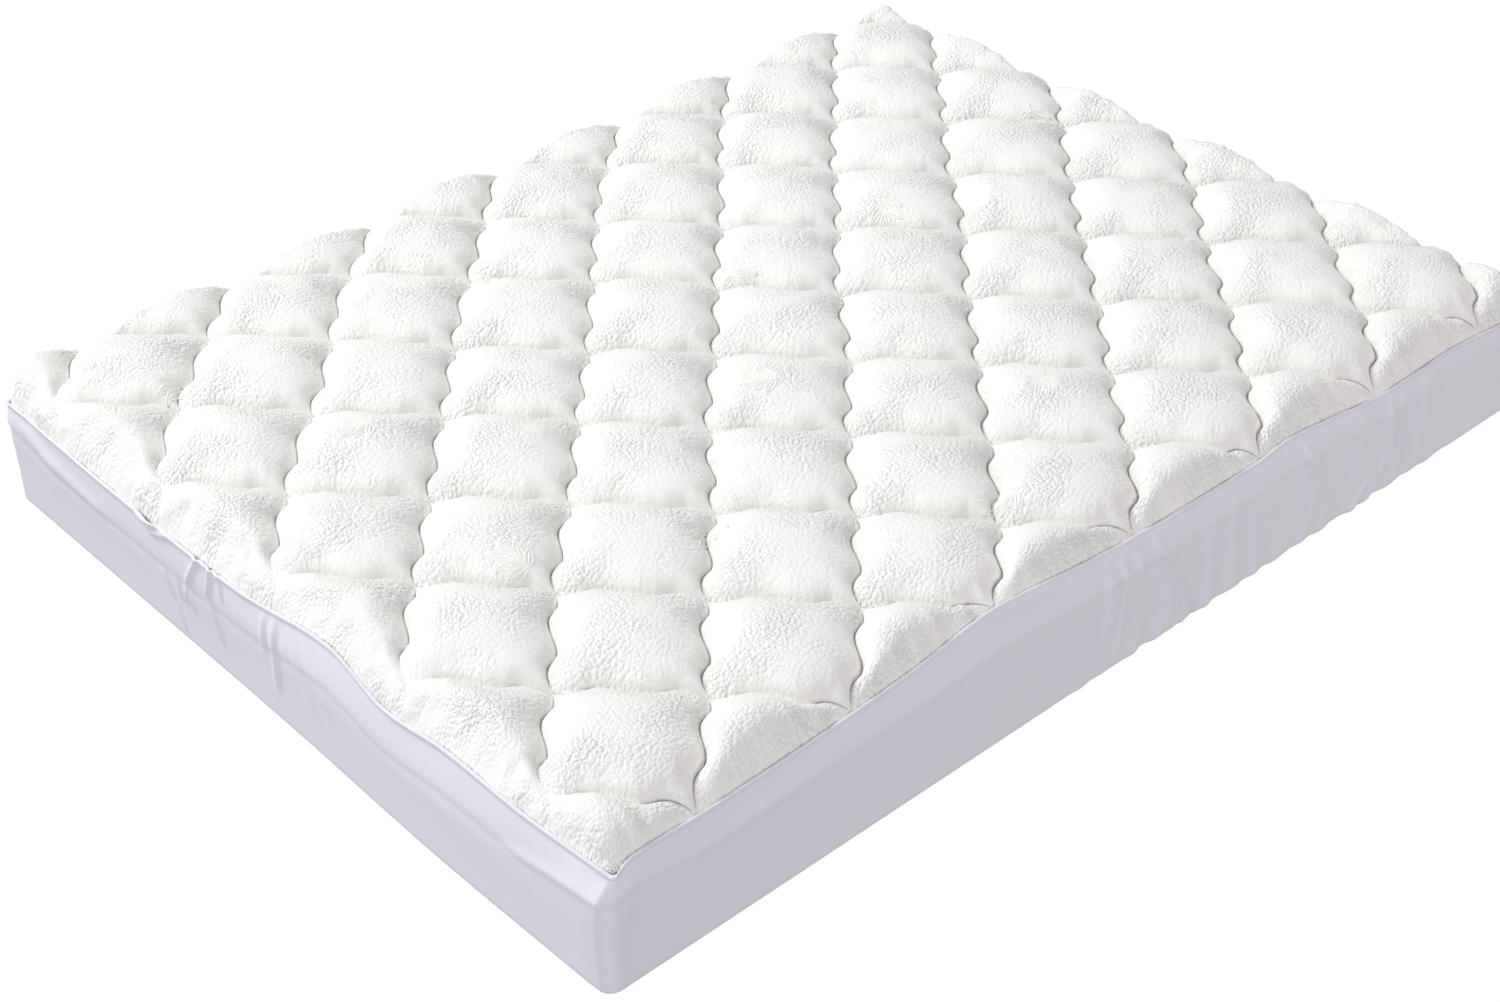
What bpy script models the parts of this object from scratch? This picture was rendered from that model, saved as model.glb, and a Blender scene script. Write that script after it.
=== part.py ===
"""Quilted mattress topper, fitted over a plain mattress.

The topper is a filled panel, quilted in wavy diamonds, with a stretch skirt sewn
round its edge. The skirt goes down over the mattress and its hem turns under it.
Metres, +Z up. The origin is the middle of the underside, +X runs along the length.
"""

import bisect
import math
from typing import NamedTuple

import bmesh
import bpy
from mathutils.geometry import delaunay_2d_cdt

# Outer size of the fitted skirt.
LENGTH = 2.020
WIDTH = 1.550

# Mattress.
MATTRESS_INSET = 0.009
MATTRESS_TOP = 0.180
MATTRESS_SHOULDER = 0.040
MATTRESS_CORNER = 0.022
MATTRESS_OVER_HEM = 0.0046
MATTRESS_CORE_INSET = 0.106

# Skirt.
SKIRT_WALL = 0.002
SKIRT_SIDE_INSET = 0.0026
SKIRT_CORNER = 0.026
SEAM_CORNER = 0.006
CORNER_BAND = 0.030
BOTTOM_ROUND = 0.014
HEM_INSET = 0.088
CORNER_STEPS = 4
FIRST_COLUMN = 0.045
SECOND_COLUMN = 0.075
SIDE_STEP = 0.125
GATHER_STEP = 0.027
BAND_EASE = 0.150
SECOND_WAVE = 0.45
SECOND_PITCH = 1.73
SECOND_TURN = 1.1

# Quilted panel: its cut size before it is sewn, and its heights.
PANEL_LEFT = -1.022
PANEL_RIGHT = 1.000
PANEL_FRONT = -0.767
PANEL_BACK = 0.796
PANEL_UNDERSIDE = 0.1806
PANEL_SEAM_GAP = 0.0006
STITCH_HEIGHT = 0.232
PUFF_HEIGHT = 0.041
DOME_ROUND = 2.2
DOME_FULLNESS = 0.68
DOME_FLOOR = 1e-9
STITCH_ROLL = 0.6
PUFF_ROLL = 0.8
FADED_PUFF = 0.5
EDGE_ROWS = (0.010, 0.021, 0.034)
EDGE_PITCH = 0.025
CORNER_GAP = 0.0026
CORNER_GAP_REACH = 0.012
SEAM_BLEND = 0.004
SIDE_SPREAD = 0.36
SIDE_UPRIGHT = 0.012

# Wavy diamonds: half a diamond each way, and where one of their corners lies.
DIAMOND_HALF_X = 0.1424
DIAMOND_HALF_Y = 0.1570
DIAMOND_START_X = -0.8371
DIAMOND_START_Y = -0.7686
DIAMOND_STEPS = 8
WAVE_DEPTH = 0.0108
WAVES_A_SIDE = 2
WAVE_PHASE = 0.35
WAVE_FADE = 3.0
DRIFT = 0.003
LINES = range(-9, 20)
CLOSEST = 0.0085
CLEAR_OF_LINE = 0.045
PUFF_RINGS = ((0.13, 4), (0.30, 2))


class Seam(NamedTuple):
    """A place on the seam: how far along the side, how far in, and how high."""

    along: float
    inset: float
    height: float


class Gather(NamedTuple):
    """Soft upright folds on one side: the middle and half width, the pitch and depth."""

    middle: float
    reach: float
    pitch: float
    depth: float


FRONT_SEAM = (
    Seam(-0.980, 0.014, 0.195),
    Seam(-0.944, 0.016, 0.209),
    Seam(-0.820, 0.018, 0.206),
    Seam(-0.623, 0.020, 0.210),
    Seam(-0.433, 0.026, 0.216),
    Seam(-0.284, 0.034, 0.227),
    Seam(-0.179, 0.032, 0.221),
    Seam(-0.064, 0.027, 0.213),
    Seam(0.112, 0.022, 0.209),
    Seam(0.297, 0.020, 0.211),
    Seam(0.381, 0.022, 0.216),
    Seam(0.606, 0.012, 0.200),
    Seam(0.785, 0.012, 0.203),
    Seam(0.930, 0.010, 0.193),
    Seam(1.000, 0.012, 0.190),
)
LEFT_SEAM = (
    Seam(-0.761, 0.032, 0.195),
    Seam(-0.715, 0.024, 0.203),
    Seam(-0.595, 0.015, 0.207),
    Seam(-0.428, 0.015, 0.207),
    Seam(-0.296, 0.011, 0.197),
    Seam(-0.157, 0.019, 0.219),
    Seam(0.073, 0.010, 0.196),
    Seam(0.445, 0.008, 0.192),
    Seam(0.602, 0.009, 0.194),
    Seam(0.730, 0.010, 0.195),
    Seam(0.765, 0.012, 0.190),
)
BACK_SEAM = (
    Seam(-1.000, 0.012, 0.190),
    Seam(-0.930, 0.010, 0.202),
    Seam(-0.500, 0.010, 0.208),
    Seam(0.000, 0.012, 0.213),
    Seam(0.450, 0.010, 0.206),
    Seam(0.930, 0.010, 0.202),
    Seam(1.000, 0.012, 0.190),
)
RIGHT_SEAM = (
    Seam(-0.765, 0.012, 0.190),
    Seam(-0.710, 0.012, 0.204),
    Seam(-0.200, 0.014, 0.211),
    Seam(0.250, 0.012, 0.205),
    Seam(0.710, 0.012, 0.204),
    Seam(0.765, 0.012, 0.190),
)
FRONT_GATHERS = (
    Gather(0.160, 0.300, 0.110, 0.0022),
    Gather(0.640, 0.260, 0.090, 0.0024),
)
BACK_GATHERS = (Gather(-0.300, 0.450, 0.130, 0.0018),)


def clamp(value, low=0.0, high=1.0):
    return max(low, min(high, value))


def seam_at(rows, along):
    """Inset and height of a seam at one place, on a smooth curve through its rows."""
    along = clamp(along, rows[0].along, rows[-1].along)
    places = [row.along for row in rows]
    after = int(clamp(bisect.bisect_right(places, along), 1, len(rows) - 1))
    a, b = rows[after - 1], rows[after]
    before = rows[max(after - 2, 0)]
    beyond = rows[min(after + 1, len(rows) - 1)]
    span = b.along - a.along
    t = (along - a.along) / span
    found = []
    for field in ("inset", "height"):
        va, vb = getattr(a, field), getattr(b, field)
        slope_a = (vb - getattr(before, field)) / (b.along - before.along)
        slope_b = (getattr(beyond, field) - va) / (beyond.along - a.along)
        found.append(
            (2 * t**3 - 3 * t**2 + 1) * va
            + (t**3 - 2 * t**2 + t) * span * slope_a
            + (3 * t**2 - 2 * t**3) * vb
            + (t**3 - t**2) * span * slope_b
        )
    return found


def gather_depth(gathers, along):
    """How far the cloth stands out, between 0 and the sum of the depths."""
    out = 0.0
    for row in gathers:
        fade = clamp(1 - ((along - row.middle) / row.reach) ** 2)
        turn = math.sin(2 * math.pi * (along - row.middle) / row.pitch)
        second = 2 * math.pi * along / (row.pitch * SECOND_PITCH) + SECOND_TURN
        turn += SECOND_WAVE * math.sin(second)
        out += row.depth * fade * turn / (1 + SECOND_WAVE)
    return out


class Side(NamedTuple):
    """One side: its outward and forward directions, its half sizes, how high the band
    is, how wide the panel's rolled edge is, how wide the strip is in which the quilting
    fades into that edge, how far in the cloth is eased to meet the seam, and the rows of
    its seam and gathers."""

    out: tuple
    forward: tuple
    half_along: float
    half_out: float
    band: float
    roll: float
    fade: float
    ease: float
    seam: tuple
    gathers: tuple


HALF_LENGTH, HALF_WIDTH = LENGTH / 2, WIDTH / 2
SIDES = (
    Side(
        (0, -1), (1, 0), HALF_LENGTH, HALF_WIDTH, 0.045, 0.090, 0.0, 0.160,
        FRONT_SEAM, FRONT_GATHERS,
    ),
    Side((1, 0), (0, 1), HALF_WIDTH, HALF_LENGTH, 0.050, 0.045, 0.0, 0.160, RIGHT_SEAM, ()),
    Side(
        (0, 1), (-1, 0), HALF_LENGTH, HALF_WIDTH, 0.050, 0.036, 0.0, 0.300,
        BACK_SEAM, BACK_GATHERS,
    ),
    Side((-1, 0), (0, -1), HALF_WIDTH, HALF_LENGTH, 0.060, 0.075, 0.075, 0.160, LEFT_SEAM, ()),
)
SIDE_RUN_END = SKIRT_SIDE_INSET + SKIRT_CORNER


def along_places(side):
    """Where the upright rows of points stand on a side, as shares of its straight run."""
    half = side.half_along
    places = [-half + FIRST_COLUMN, -half + SECOND_COLUMN]
    while places[-1] < half - SECOND_COLUMN:
        ahead = places[-1] + GATHER_STEP / 2
        near = any(abs(ahead - g.middle) < g.reach for g in side.gathers)
        places.append(places[-1] + (GATHER_STEP if near else SIDE_STEP))
    end = half - FIRST_COLUMN
    share = (end - places[0]) / (places[-1] - places[0])
    return [(places[0] + (p - places[0]) * share) / half for p in places]


def ring_columns(shares_of):
    """Columns round the outline as (side, share along it, turn), turn 0 to 1 in a corner."""
    columns = []
    for number, side in enumerate(SIDES):
        columns += [(number, share, None) for share in shares_of(side)]
        columns += [(number, 1.0, step / CORNER_STEPS) for step in range(CORNER_STEPS + 1)]
    return columns


def corner_seams(number):
    """The seam's row on this side and on the next, at the corner between them."""
    last = SIDES[number].seam[-1] if number in (0, 1) else SIDES[number].seam[0]
    after = (number + 1) % 4
    first = SIDES[after].seam[0] if after in (0, 1) else SIDES[after].seam[-1]
    return last, first


def table_place(number, along):
    """A place along a side, in the sense in which its seam's rows are listed."""
    return -along if number in (2, 3) else along


def seam_place(number, share):
    """Where a column meets the seam, along its side."""
    side = SIDES[number]
    other = corner_seams(number)[1] if share > 0 else corner_seams((number - 1) % 4)[0]
    run = side.half_along - other.inset - SEAM_CORNER
    return share * side.half_along * run / (side.half_along - SIDE_RUN_END)


def sewn_seam(number):
    """The seam as sewn, straight between the skirt's columns: rows as in its table."""
    side = SIDES[number]
    ends = (corner_seams((number - 1) % 4), corner_seams(number))
    rows = []
    for sign, other, own in ((-1, ends[0][0], ends[0][1]), (1, ends[1][1], ends[1][0])):
        end = sign * (side.half_along - other.inset - SEAM_CORNER)
        rows.append(Seam(table_place(number, end), own.inset, own.height))
    for share in along_places(side):
        place = table_place(number, seam_place(number, share))
        rows.append(Seam(place, *seam_at(side.seam, place)))
    return sorted(rows)


def skirt_face(seam_inset, seam_height, band, fold):
    """Stations of the skirt's outer face from the seam to the hem: inset, height, corner."""
    step = seam_height - band
    side_in = SKIRT_SIDE_INSET
    low = BOTTOM_ROUND
    return [
        (seam_inset, seam_height + 0.001, SEAM_CORNER),
        (seam_inset * 0.64 - fold * 0.3, seam_height - band * 0.25, 0.012),
        (seam_inset * 0.24 + 0.0006 - fold * 0.6, seam_height - band * 0.65, 0.020),
        (side_in - 0.0010 - fold, step, SKIRT_CORNER),
        (side_in + 0.0006 - fold, step - 0.016, SKIRT_CORNER),
        (side_in - fold, step * 0.60, SKIRT_CORNER),
        (side_in - fold, step * 0.36, SKIRT_CORNER),
        (side_in + 0.0004 - fold, low, SKIRT_CORNER),
        (side_in + 0.3 * low - fold * 0.8, 0.3 * low, SKIRT_CORNER - 0.004),
        (side_in + low, 0.0, SKIRT_CORNER - 0.010),
        (HEM_INSET, 0.0, 0.004),
    ]


def corner_face(seam):
    """The skirt's stations at a corner, from the seam's row there."""
    return skirt_face(seam.inset, seam.height, CORNER_BAND, 0.0)


def column_faces(column):
    """A column's own stations and those of its neighbours' sides, before and after it."""
    number, share, turn = column
    side = SIDES[number]
    last, first = corner_seams(number)
    if turn is not None:
        return corner_face(last), None, corner_face(first)
    place = table_place(number, seam_place(number, share))
    seam_inset, seam_height = seam_at(side.seam, place)
    room = clamp((side.half_along - abs(place)) / BAND_EASE)
    band = CORNER_BAND + (side.band - CORNER_BAND) * room
    own = skirt_face(seam_inset, seam_height, band, gather_depth(side.gathers, place))
    return own, corner_face(corner_seams((number - 1) % 4)[0]), corner_face(first)


def ring_point(column, own, before, after):
    """A column's point, from its own station and those on the sides before and after."""
    number, share, turn = column
    side = SIDES[number]
    inset, height, corner = own
    if turn is None:
        end = after if share > 0 else before
        run = side.half_along - end[0] - end[2]
        along = share * side.half_along * run / (side.half_along - SIDE_RUN_END)
        reach = side.half_out - inset
        out = (0.0, 0.0)
    else:
        following = SIDES[(number + 1) % 4]
        along = side.half_along - after[0] - corner
        reach = side.half_out - inset - corner
        cos, sin = math.cos(turn * math.pi / 2), math.sin(turn * math.pi / 2)
        out = tuple(corner * (p * cos + q * sin) for p, q in zip(side.out, following.out))
    x = side.out[0] * reach + side.forward[0] * along + out[0]
    y = side.out[1] * reach + side.forward[1] * along + out[1]
    return x, y, height


def inner_face(stations):
    """The same stations, moved in by the cloth's thickness."""
    if stations is None:
        return None
    inner = []
    for k, (inset, height, corner) in enumerate(stations):
        a = stations[max(k - 1, 0)]
        b = stations[min(k + 1, len(stations) - 1)]
        along = (b[0] - a[0], b[1] - a[1])
        size = math.hypot(*along)
        move = (-along[1] * SKIRT_WALL / size, along[0] * SKIRT_WALL / size)
        inner.append((inset + move[0], height + move[1], corner - move[0]))
    return inner


def new_object(name, mesh_maker, colour, roughness, crease_angle):
    """An object whose mesh comes from a bmesh, with a material of its own.

    Edges that bend more than the crease angle, in degrees, are shaded sharp.
    """
    mesh = bpy.data.meshes.new(name)
    bm = bmesh.new()
    mesh_maker(bm)
    bmesh.ops.triangulate(bm, faces=bm.faces[:])
    bmesh.ops.recalc_face_normals(bm, faces=bm.faces[:])
    bm.to_mesh(mesh)
    bm.free()
    mesh.shade_smooth()
    mesh.set_sharp_from_angle(angle=math.radians(crease_angle))
    material = bpy.data.materials.new(name + "_cloth")
    material.use_nodes = True
    shader = material.node_tree.nodes["Principled BSDF"]
    shader.inputs["Base Color"].default_value = (*colour, 1.0)
    shader.inputs["Roughness"].default_value = roughness
    shader.inputs["Metallic"].default_value = 0.0
    mesh.materials.append(material)
    obj = bpy.data.objects.new(name, mesh)
    bpy.context.scene.collection.objects.link(obj)
    return obj


def bridge(bm, lower, upper):
    """Quads between two closed rings of the same count."""
    count = len(lower)
    for k in range(count):
        bm.faces.new((lower[k], lower[(k + 1) % count], upper[(k + 1) % count], upper[k]))


def make_skirt(bm):
    """A sheet from the seam over the mattress's shoulder, down and under to its hem."""
    outer_rings = []
    inner_rings = []
    for column in ring_columns(along_places):
        outer = column_faces(column)
        inner = [inner_face(stations) for stations in outer]
        for faces, rings in ((outer, outer_rings), (inner, inner_rings)):
            own, before, after = faces
            before = before or after
            points = [ring_point(column, *row) for row in zip(own, before, after)]
            rings.append([bm.verts.new(point) for point in points])
    outer_rows = list(zip(*outer_rings))
    inner_rows = list(zip(*inner_rings))
    for k in range(len(outer_rows) - 1):
        bridge(bm, outer_rows[k + 1], outer_rows[k])
        bridge(bm, inner_rows[k], inner_rows[k + 1])
    bridge(bm, outer_rows[0], inner_rows[0])
    bridge(bm, inner_rows[-1], outer_rows[-1])


def make_mattress(bm):
    """A plain block with rounded edges, which sinks to the floor inside the hem."""
    edge = MATTRESS_INSET
    top = MATTRESS_TOP
    r = MATTRESS_SHOULDER
    low = MATTRESS_OVER_HEM
    corner = MATTRESS_CORNER
    stations = [
        (MATTRESS_CORE_INSET, 0.0, 0.020),
        (MATTRESS_CORE_INSET - 0.010, low, 0.020),
        (edge + 0.030, low, corner),
        (edge + 0.008, low + 0.010, corner),
        (edge, low + 0.030, corner),
        (edge, top - r, corner),
        (edge + r * 0.13, top - r * 0.50, corner),
        (edge + r * 0.50, top - r * 0.13, corner),
        (edge + r, top, corner),
    ]
    columns = ring_columns(lambda side: (-0.5, 0.0, 0.5))
    rows = []
    for station in stations:
        ring = [ring_point(column, station, station, station) for column in columns]
        rows.append([bm.verts.new(point) for point in ring])
    for lower, upper in zip(rows, rows[1:]):
        bridge(bm, lower, upper)
    bottom = bm.verts.new((0.0, 0.0, 0.0))
    crown = bm.verts.new((0.0, 0.0, top))
    count = len(columns)
    for k in range(count):
        bm.faces.new((rows[0][(k + 1) % count], rows[0][k], bottom))
        bm.faces.new((rows[-1][k], rows[-1][(k + 1) % count], crown))


def wave(t):
    """A stitch line's sideways wave, t running from a diamond's far corner."""
    return WAVE_DEPTH * math.cos(2 * math.pi * WAVES_A_SIDE * (t - WAVE_PHASE))


def quilt_point(u, v):
    """Flat place and puff height at (u, v), whose whole numbers are the stitch lines."""
    fu = u - math.floor(u)
    fv = v - math.floor(v)
    i = u - v
    j = u + v
    near_u = (1 - math.sin(math.pi * fu)) ** WAVE_FADE
    near_v = (1 - math.sin(math.pi * fv)) ** WAVE_FADE
    sway = wave(1 - fv) * near_u + wave(1 - fu) * near_v - wave(0) * near_u * near_v
    drift_x = DRIFT * (math.sin(1.9 * i + 0.7 * j) + math.sin(0.8 * i - 1.7 * j + 2.0))
    drift_y = DRIFT * (math.sin(1.3 * i + 1.9 * j + 1.0) + math.sin(2.2 * i - 0.6 * j))
    x = DIAMOND_START_X + DIAMOND_HALF_X * i + drift_x
    y = DIAMOND_START_Y + DIAMOND_HALF_Y * j + drift_y + sway
    across, up = (
        max(1 - abs(2 * part - 1) ** DOME_ROUND, DOME_FLOOR) ** DOME_FULLNESS for part in (fu, fv)
    )
    return x, y, PUFF_HEIGHT * across * up / (across + up - across * up)


def edge_distances(x, y):
    """How far a flat point is from the four cut edges, in the order of the sides."""
    return (y - PANEL_FRONT, PANEL_RIGHT - x, PANEL_BACK - y, x - PANEL_LEFT)


def panel_seam(number, along):
    """Inset and height of the panel's own edge, just inside the skirt's seam."""
    rows = SEWN[number]
    along = clamp(along, rows[0].along, rows[-1].along)
    after = int(clamp(bisect.bisect_right([r.along for r in rows], along), 1, len(rows) - 1))
    a, b = rows[after - 1], rows[after]
    t = (along - a.along) / (b.along - a.along)
    inset = a.inset + (b.inset - a.inset) * t
    room = min(along - rows[0].along, rows[-1].along - along)
    gap = SKIRT_WALL + PANEL_SEAM_GAP + CORNER_GAP * clamp(1 - room / CORNER_GAP_REACH)
    return inset + gap, a.height + (b.height - a.height) * t


def sewn_point(x, y, puff):
    """A flat, puffed point in its sewn place: its edges are drawn in and down."""
    place = [x, y]
    nearness = 0.0
    height = 0.0
    rise = 1.0
    for number, away in enumerate(edge_distances(x, y)):
        axis = 1 if number in (0, 2) else 0
        inset, seam = panel_seam(number, place_along(x, y, number))
        side = SIDES[number]
        cut = (PANEL_FRONT, PANEL_RIGHT, PANEL_BACK, PANEL_LEFT)[number]
        ease = clamp(1 - away / side.ease) ** 2
        place[axis] += (side.out[axis] * (side.half_out - inset) - cut) * ease
        rise *= clamp(1 - (1 - clamp(away / side.roll)) ** 2)
        if side.fade:
            puff += (FADED_PUFF * PUFF_HEIGHT - puff) * clamp(1 - away / side.fade)
        weight = 1 / (away + SEAM_BLEND) ** 2
        nearness += weight
        height += weight * seam
    seam = height / nearness
    height = seam + (STITCH_HEIGHT - seam) * rise**STITCH_ROLL + puff * rise**PUFF_ROLL
    return place[0], place[1], height


def place_along(x, y, number):
    """A flat point's place along one side of the sewn panel."""
    if number in (0, 2):
        value, cuts, ends = x, (PANEL_LEFT, PANEL_RIGHT), (SIDES[3], SIDES[1])
    else:
        value, cuts, ends = y, (PANEL_FRONT, PANEL_BACK), (SIDES[0], SIDES[2])
    rows = (SEWN[number][0], SEWN[number][-1])
    for cut, end, row in zip(cuts, ends, rows):
        value += (row.along - cut) * clamp(1 - abs(value - cut) / end.ease) ** 2
    return value


def quilt_turns(x, y):
    """The (u, v) of a flat point, found by closing in on it."""
    i = (x - DIAMOND_START_X) / DIAMOND_HALF_X
    j = (y - DIAMOND_START_Y) / DIAMOND_HALF_Y
    for _ in range(40):
        at_x, at_y, _puff = quilt_point((j + i) / 2, (j - i) / 2)
        i += (x - at_x) / DIAMOND_HALF_X
        j += (y - at_y) / DIAMOND_HALF_Y
    return (j + i) / 2, (j - i) / 2


class Points:
    """Flat points that keep their distance from one another, with their puff heights."""

    def __init__(self):
        self.flat = []
        self.puff = []
        self.cells = {}

    def add(self, x, y, puff, apart=CLOSEST):
        """Adds a point unless one stands closer than apart, and gives its number."""
        cell = (round(x / CLOSEST), round(y / CLOSEST))
        for a in range(-2, 3):
            for b in range(-2, 3):
                for k in self.cells.get((cell[0] + a, cell[1] + b), ()):
                    if math.dist(self.flat[k], (x, y)) < apart:
                        return None
        self.flat.append((x, y))
        self.puff.append(puff)
        self.cells.setdefault(cell, []).append(len(self.flat) - 1)
        return len(self.flat) - 1


def onto_edge(inside, outside):
    """Where the line between two flat points leaves the panel."""
    share = 1.0
    for here, there in zip(edge_distances(*inside), edge_distances(*outside)):
        if there < 0:
            share = min(share, here / (here - there))
    return tuple(p + (q - p) * share for p, q in zip(inside, outside))


def add_stitch_lines(points, joins):
    """Points along both families of stitch lines, joined in order and cut at the edges."""
    kept = {}
    step = 1 / DIAMOND_STEPS
    for family in (0, 1):
        for line in LINES:
            before = None
            for k in range(LINES.start * DIAMOND_STEPS, LINES.stop * DIAMOND_STEPS):
                key = (line * DIAMOND_STEPS, k) if family == 0 else (k, line * DIAMOND_STEPS)
                x, y, _puff = quilt_point(key[0] * step, key[1] * step)
                room = min(edge_distances(x, y))
                inside = room > CLOSEST
                if inside and key not in kept:
                    kept[key] = points.add(x, y, 0.0, apart=0.001)
                here = kept.get(key) if inside else None
                if before and here is not None and before[1] is not None:
                    joins.append((before[1], here))
                elif before and (here is None) != (before[1] is None):
                    known = here if here is not None else before[1]
                    other = before[0] if here is not None else (x, y)
                    if min(edge_distances(*other)) >= 0:
                        other = tuple(2 * q - p for p, q in zip(points.flat[known], other))
                    if min(edge_distances(*other)) < 0:
                        edge = onto_edge(points.flat[known], other)
                        number = points.add(*edge, 0.0, apart=0.003)
                        if number is not None:
                            joins.append((known, number))
                before = ((x, y), here)


def add_edge_rows(points):
    """Points along the cut edges and in rows just inside them."""
    for away in (0.0, *EDGE_ROWS):
        left, right = PANEL_LEFT + away, PANEL_RIGHT - away
        front, back = PANEL_FRONT + away, PANEL_BACK - away
        runs = (
            ((left, front), (right, front)),
            ((right, front), (right, back)),
            ((right, back), (left, back)),
            ((left, back), (left, front)),
        )
        for a, b in runs:
            count = round(math.dist(a, b) / EDGE_PITCH)
            for k in range(count):
                x = a[0] + (b[0] - a[0]) * k / count
                y = a[1] + (b[1] - a[1]) * k / count
                u, v = quilt_turns(x, y)
                clear = min(u % 1, 1 - u % 1, v % 1, 1 - v % 1)
                if away == 0.0 or clear > CLEAR_OF_LINE:
                    apart = 0.001 if k == 0 else CLOSEST + 0.001
                    points.add(x, y, quilt_point(u, v)[2], apart=apart)


def add_puffs(points):
    """Rings of points and a crown inside each diamond."""
    rings = []
    for inward, count in PUFF_RINGS:
        for k in range(count):
            t = inward + (1 - 2 * inward) * k / count
            rings += [(t, inward), (1 - inward, t), (1 - t, 1 - inward), (inward, 1 - t)]
    rings.append((0.5, 0.5))
    for line in LINES:
        for cross in LINES:
            for fu, fv in rings:
                x, y, puff = quilt_point(line + fu, cross + fv)
                if min(edge_distances(x, y)) > EDGE_ROWS[0]:
                    points.add(x, y, puff)


def make_quilted_top(bm):
    """The puffed face, its side below the seam and its flat underside."""
    points = Points()
    joins = []
    add_stitch_lines(points, joins)
    add_edge_rows(points)
    add_puffs(points)
    cut = delaunay_2d_cdt(points.flat, joins, [], 0, 1e-6)
    verts = []
    for (x, y), origins in zip(cut[0], cut[3]):
        puff = points.puff[origins[0]] if origins else 0.0
        verts.append(bm.verts.new(sewn_point(x, y, puff)))
    for face in cut[2]:
        bm.faces.new([verts[k] for k in face])
    edge = [e for e in bm.edges if e.is_boundary]
    made = bmesh.ops.extrude_edge_only(bm, edges=edge)
    low_verts = [g for g in made["geom"] if isinstance(g, bmesh.types.BMVert)]
    low_edges = [g for g in made["geom"] if isinstance(g, bmesh.types.BMEdge)]
    for vert in low_verts:
        spread = SIDE_SPREAD * max(vert.co.z - PANEL_UNDERSIDE - SIDE_UPRIGHT, 0.0)
        if HALF_LENGTH - abs(vert.co.x) < HALF_WIDTH - abs(vert.co.y):
            vert.co.x += math.copysign(spread, vert.co.x)
        else:
            vert.co.y += math.copysign(spread, vert.co.y)
        vert.co.z = PANEL_UNDERSIDE
    middle = bm.verts.new((0.0, 0.0, PANEL_UNDERSIDE))
    for low in low_edges:
        if low.is_boundary:
            bm.faces.new((low.verts[0], low.verts[1], middle))


SEWN = [sewn_seam(number) for number in range(4)]

for old in list(bpy.data.objects):
    bpy.data.objects.remove(old, do_unlink=True)

new_object("mattress", make_mattress, (0.72, 0.70, 0.66), 0.85, 40)
new_object("skirt", make_skirt, (0.70, 0.69, 0.76), 0.55, 40)
new_object("quilted_top", make_quilted_top, (0.92, 0.91, 0.87), 0.80, 80)
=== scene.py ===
"""The looks of a quilted mattress topper fitted over a plain mattress.

The filled top is quilted in wavy diamonds, its face puffed up by Blender's cloth
simulation between the stitch lines. A stretch skirt is sewn round it, goes down
over the mattress and turns under it. Everything is in metres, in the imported
model's frame: +X along the length, +Y along the width, +Z up.
"""

import logging
import math
from dataclasses import dataclass, field
from enum import Enum
from typing import NamedTuple, Optional

import bmesh
import bpy
import numpy as np
from mathutils import Matrix, Vector
from mathutils.bvhtree import BVHTree


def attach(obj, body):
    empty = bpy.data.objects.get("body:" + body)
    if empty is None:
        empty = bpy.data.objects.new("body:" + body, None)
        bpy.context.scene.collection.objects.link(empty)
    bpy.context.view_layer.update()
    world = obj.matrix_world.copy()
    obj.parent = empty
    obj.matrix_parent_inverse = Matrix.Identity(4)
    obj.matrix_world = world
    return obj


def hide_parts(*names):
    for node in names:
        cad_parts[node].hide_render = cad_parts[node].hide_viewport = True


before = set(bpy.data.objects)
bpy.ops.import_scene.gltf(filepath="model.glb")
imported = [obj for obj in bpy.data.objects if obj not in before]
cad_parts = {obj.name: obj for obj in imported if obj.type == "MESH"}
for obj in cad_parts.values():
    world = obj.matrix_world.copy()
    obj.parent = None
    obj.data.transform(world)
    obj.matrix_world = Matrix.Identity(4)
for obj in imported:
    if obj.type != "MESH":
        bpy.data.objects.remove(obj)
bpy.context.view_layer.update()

log = logging.getLogger("topper")
Array = np.ndarray
MM = 0.001
# How many bands Blender's wave texture makes in each unit of its scale.
BANDS = 20 / (2 * math.pi)


# Helpers


def linear(code: str) -> tuple[float, float, float, float]:
    """Turns an sRGB hex colour into the linear colour that Blender's shaders take.

    Args:
        code: The colour as six hex digits, such as "f4f1ea".

    Returns:
        Linear red, green and blue, with an alpha of 1.
    """
    parts = [int(code[k : k + 2], 16) / 255 for k in (0, 2, 4)]
    curved = [p / 12.92 if p <= 0.04045 else ((p + 0.055) / 1.055) ** 2.4 for p in parts]
    return curved[0], curved[1], curved[2], 1.0


def ramp(values: Array, low: float = 0.0, high: float = 1.0) -> Array:
    """Rises from 0 at low to 1 at high, and stays there."""
    return np.clip((values - low) / (high - low), 0.0, 1.0)


def soft_ramp(values: Array, low: float = 0.0, high: float = 1.0) -> Array:
    """Rises smoothly from 0 at low to 1 at high."""
    t = ramp(values, low, high)
    return t * t * (3 - 2 * t)


def ripple(places: Array, pitch: float, seed: float) -> Array:
    """An uneven wave along a line, as cloth makes where it is gathered.

    Args:
        places: How far along the line each point is, in metres.
        pitch: The wave's mean length, in metres.
        seed: Any number, which shifts the wave.

    Returns:
        Heights between about -1 and 1.
    """
    turn = 2 * math.pi * places / pitch
    made = np.sin(turn + seed) + 0.7 * np.sin(turn * 0.61 + 2.3 * seed + 1.0)
    made += 0.5 * np.sin(turn * 1.43 + 1.7 * seed + 4.0)
    return made / 2.2


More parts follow.
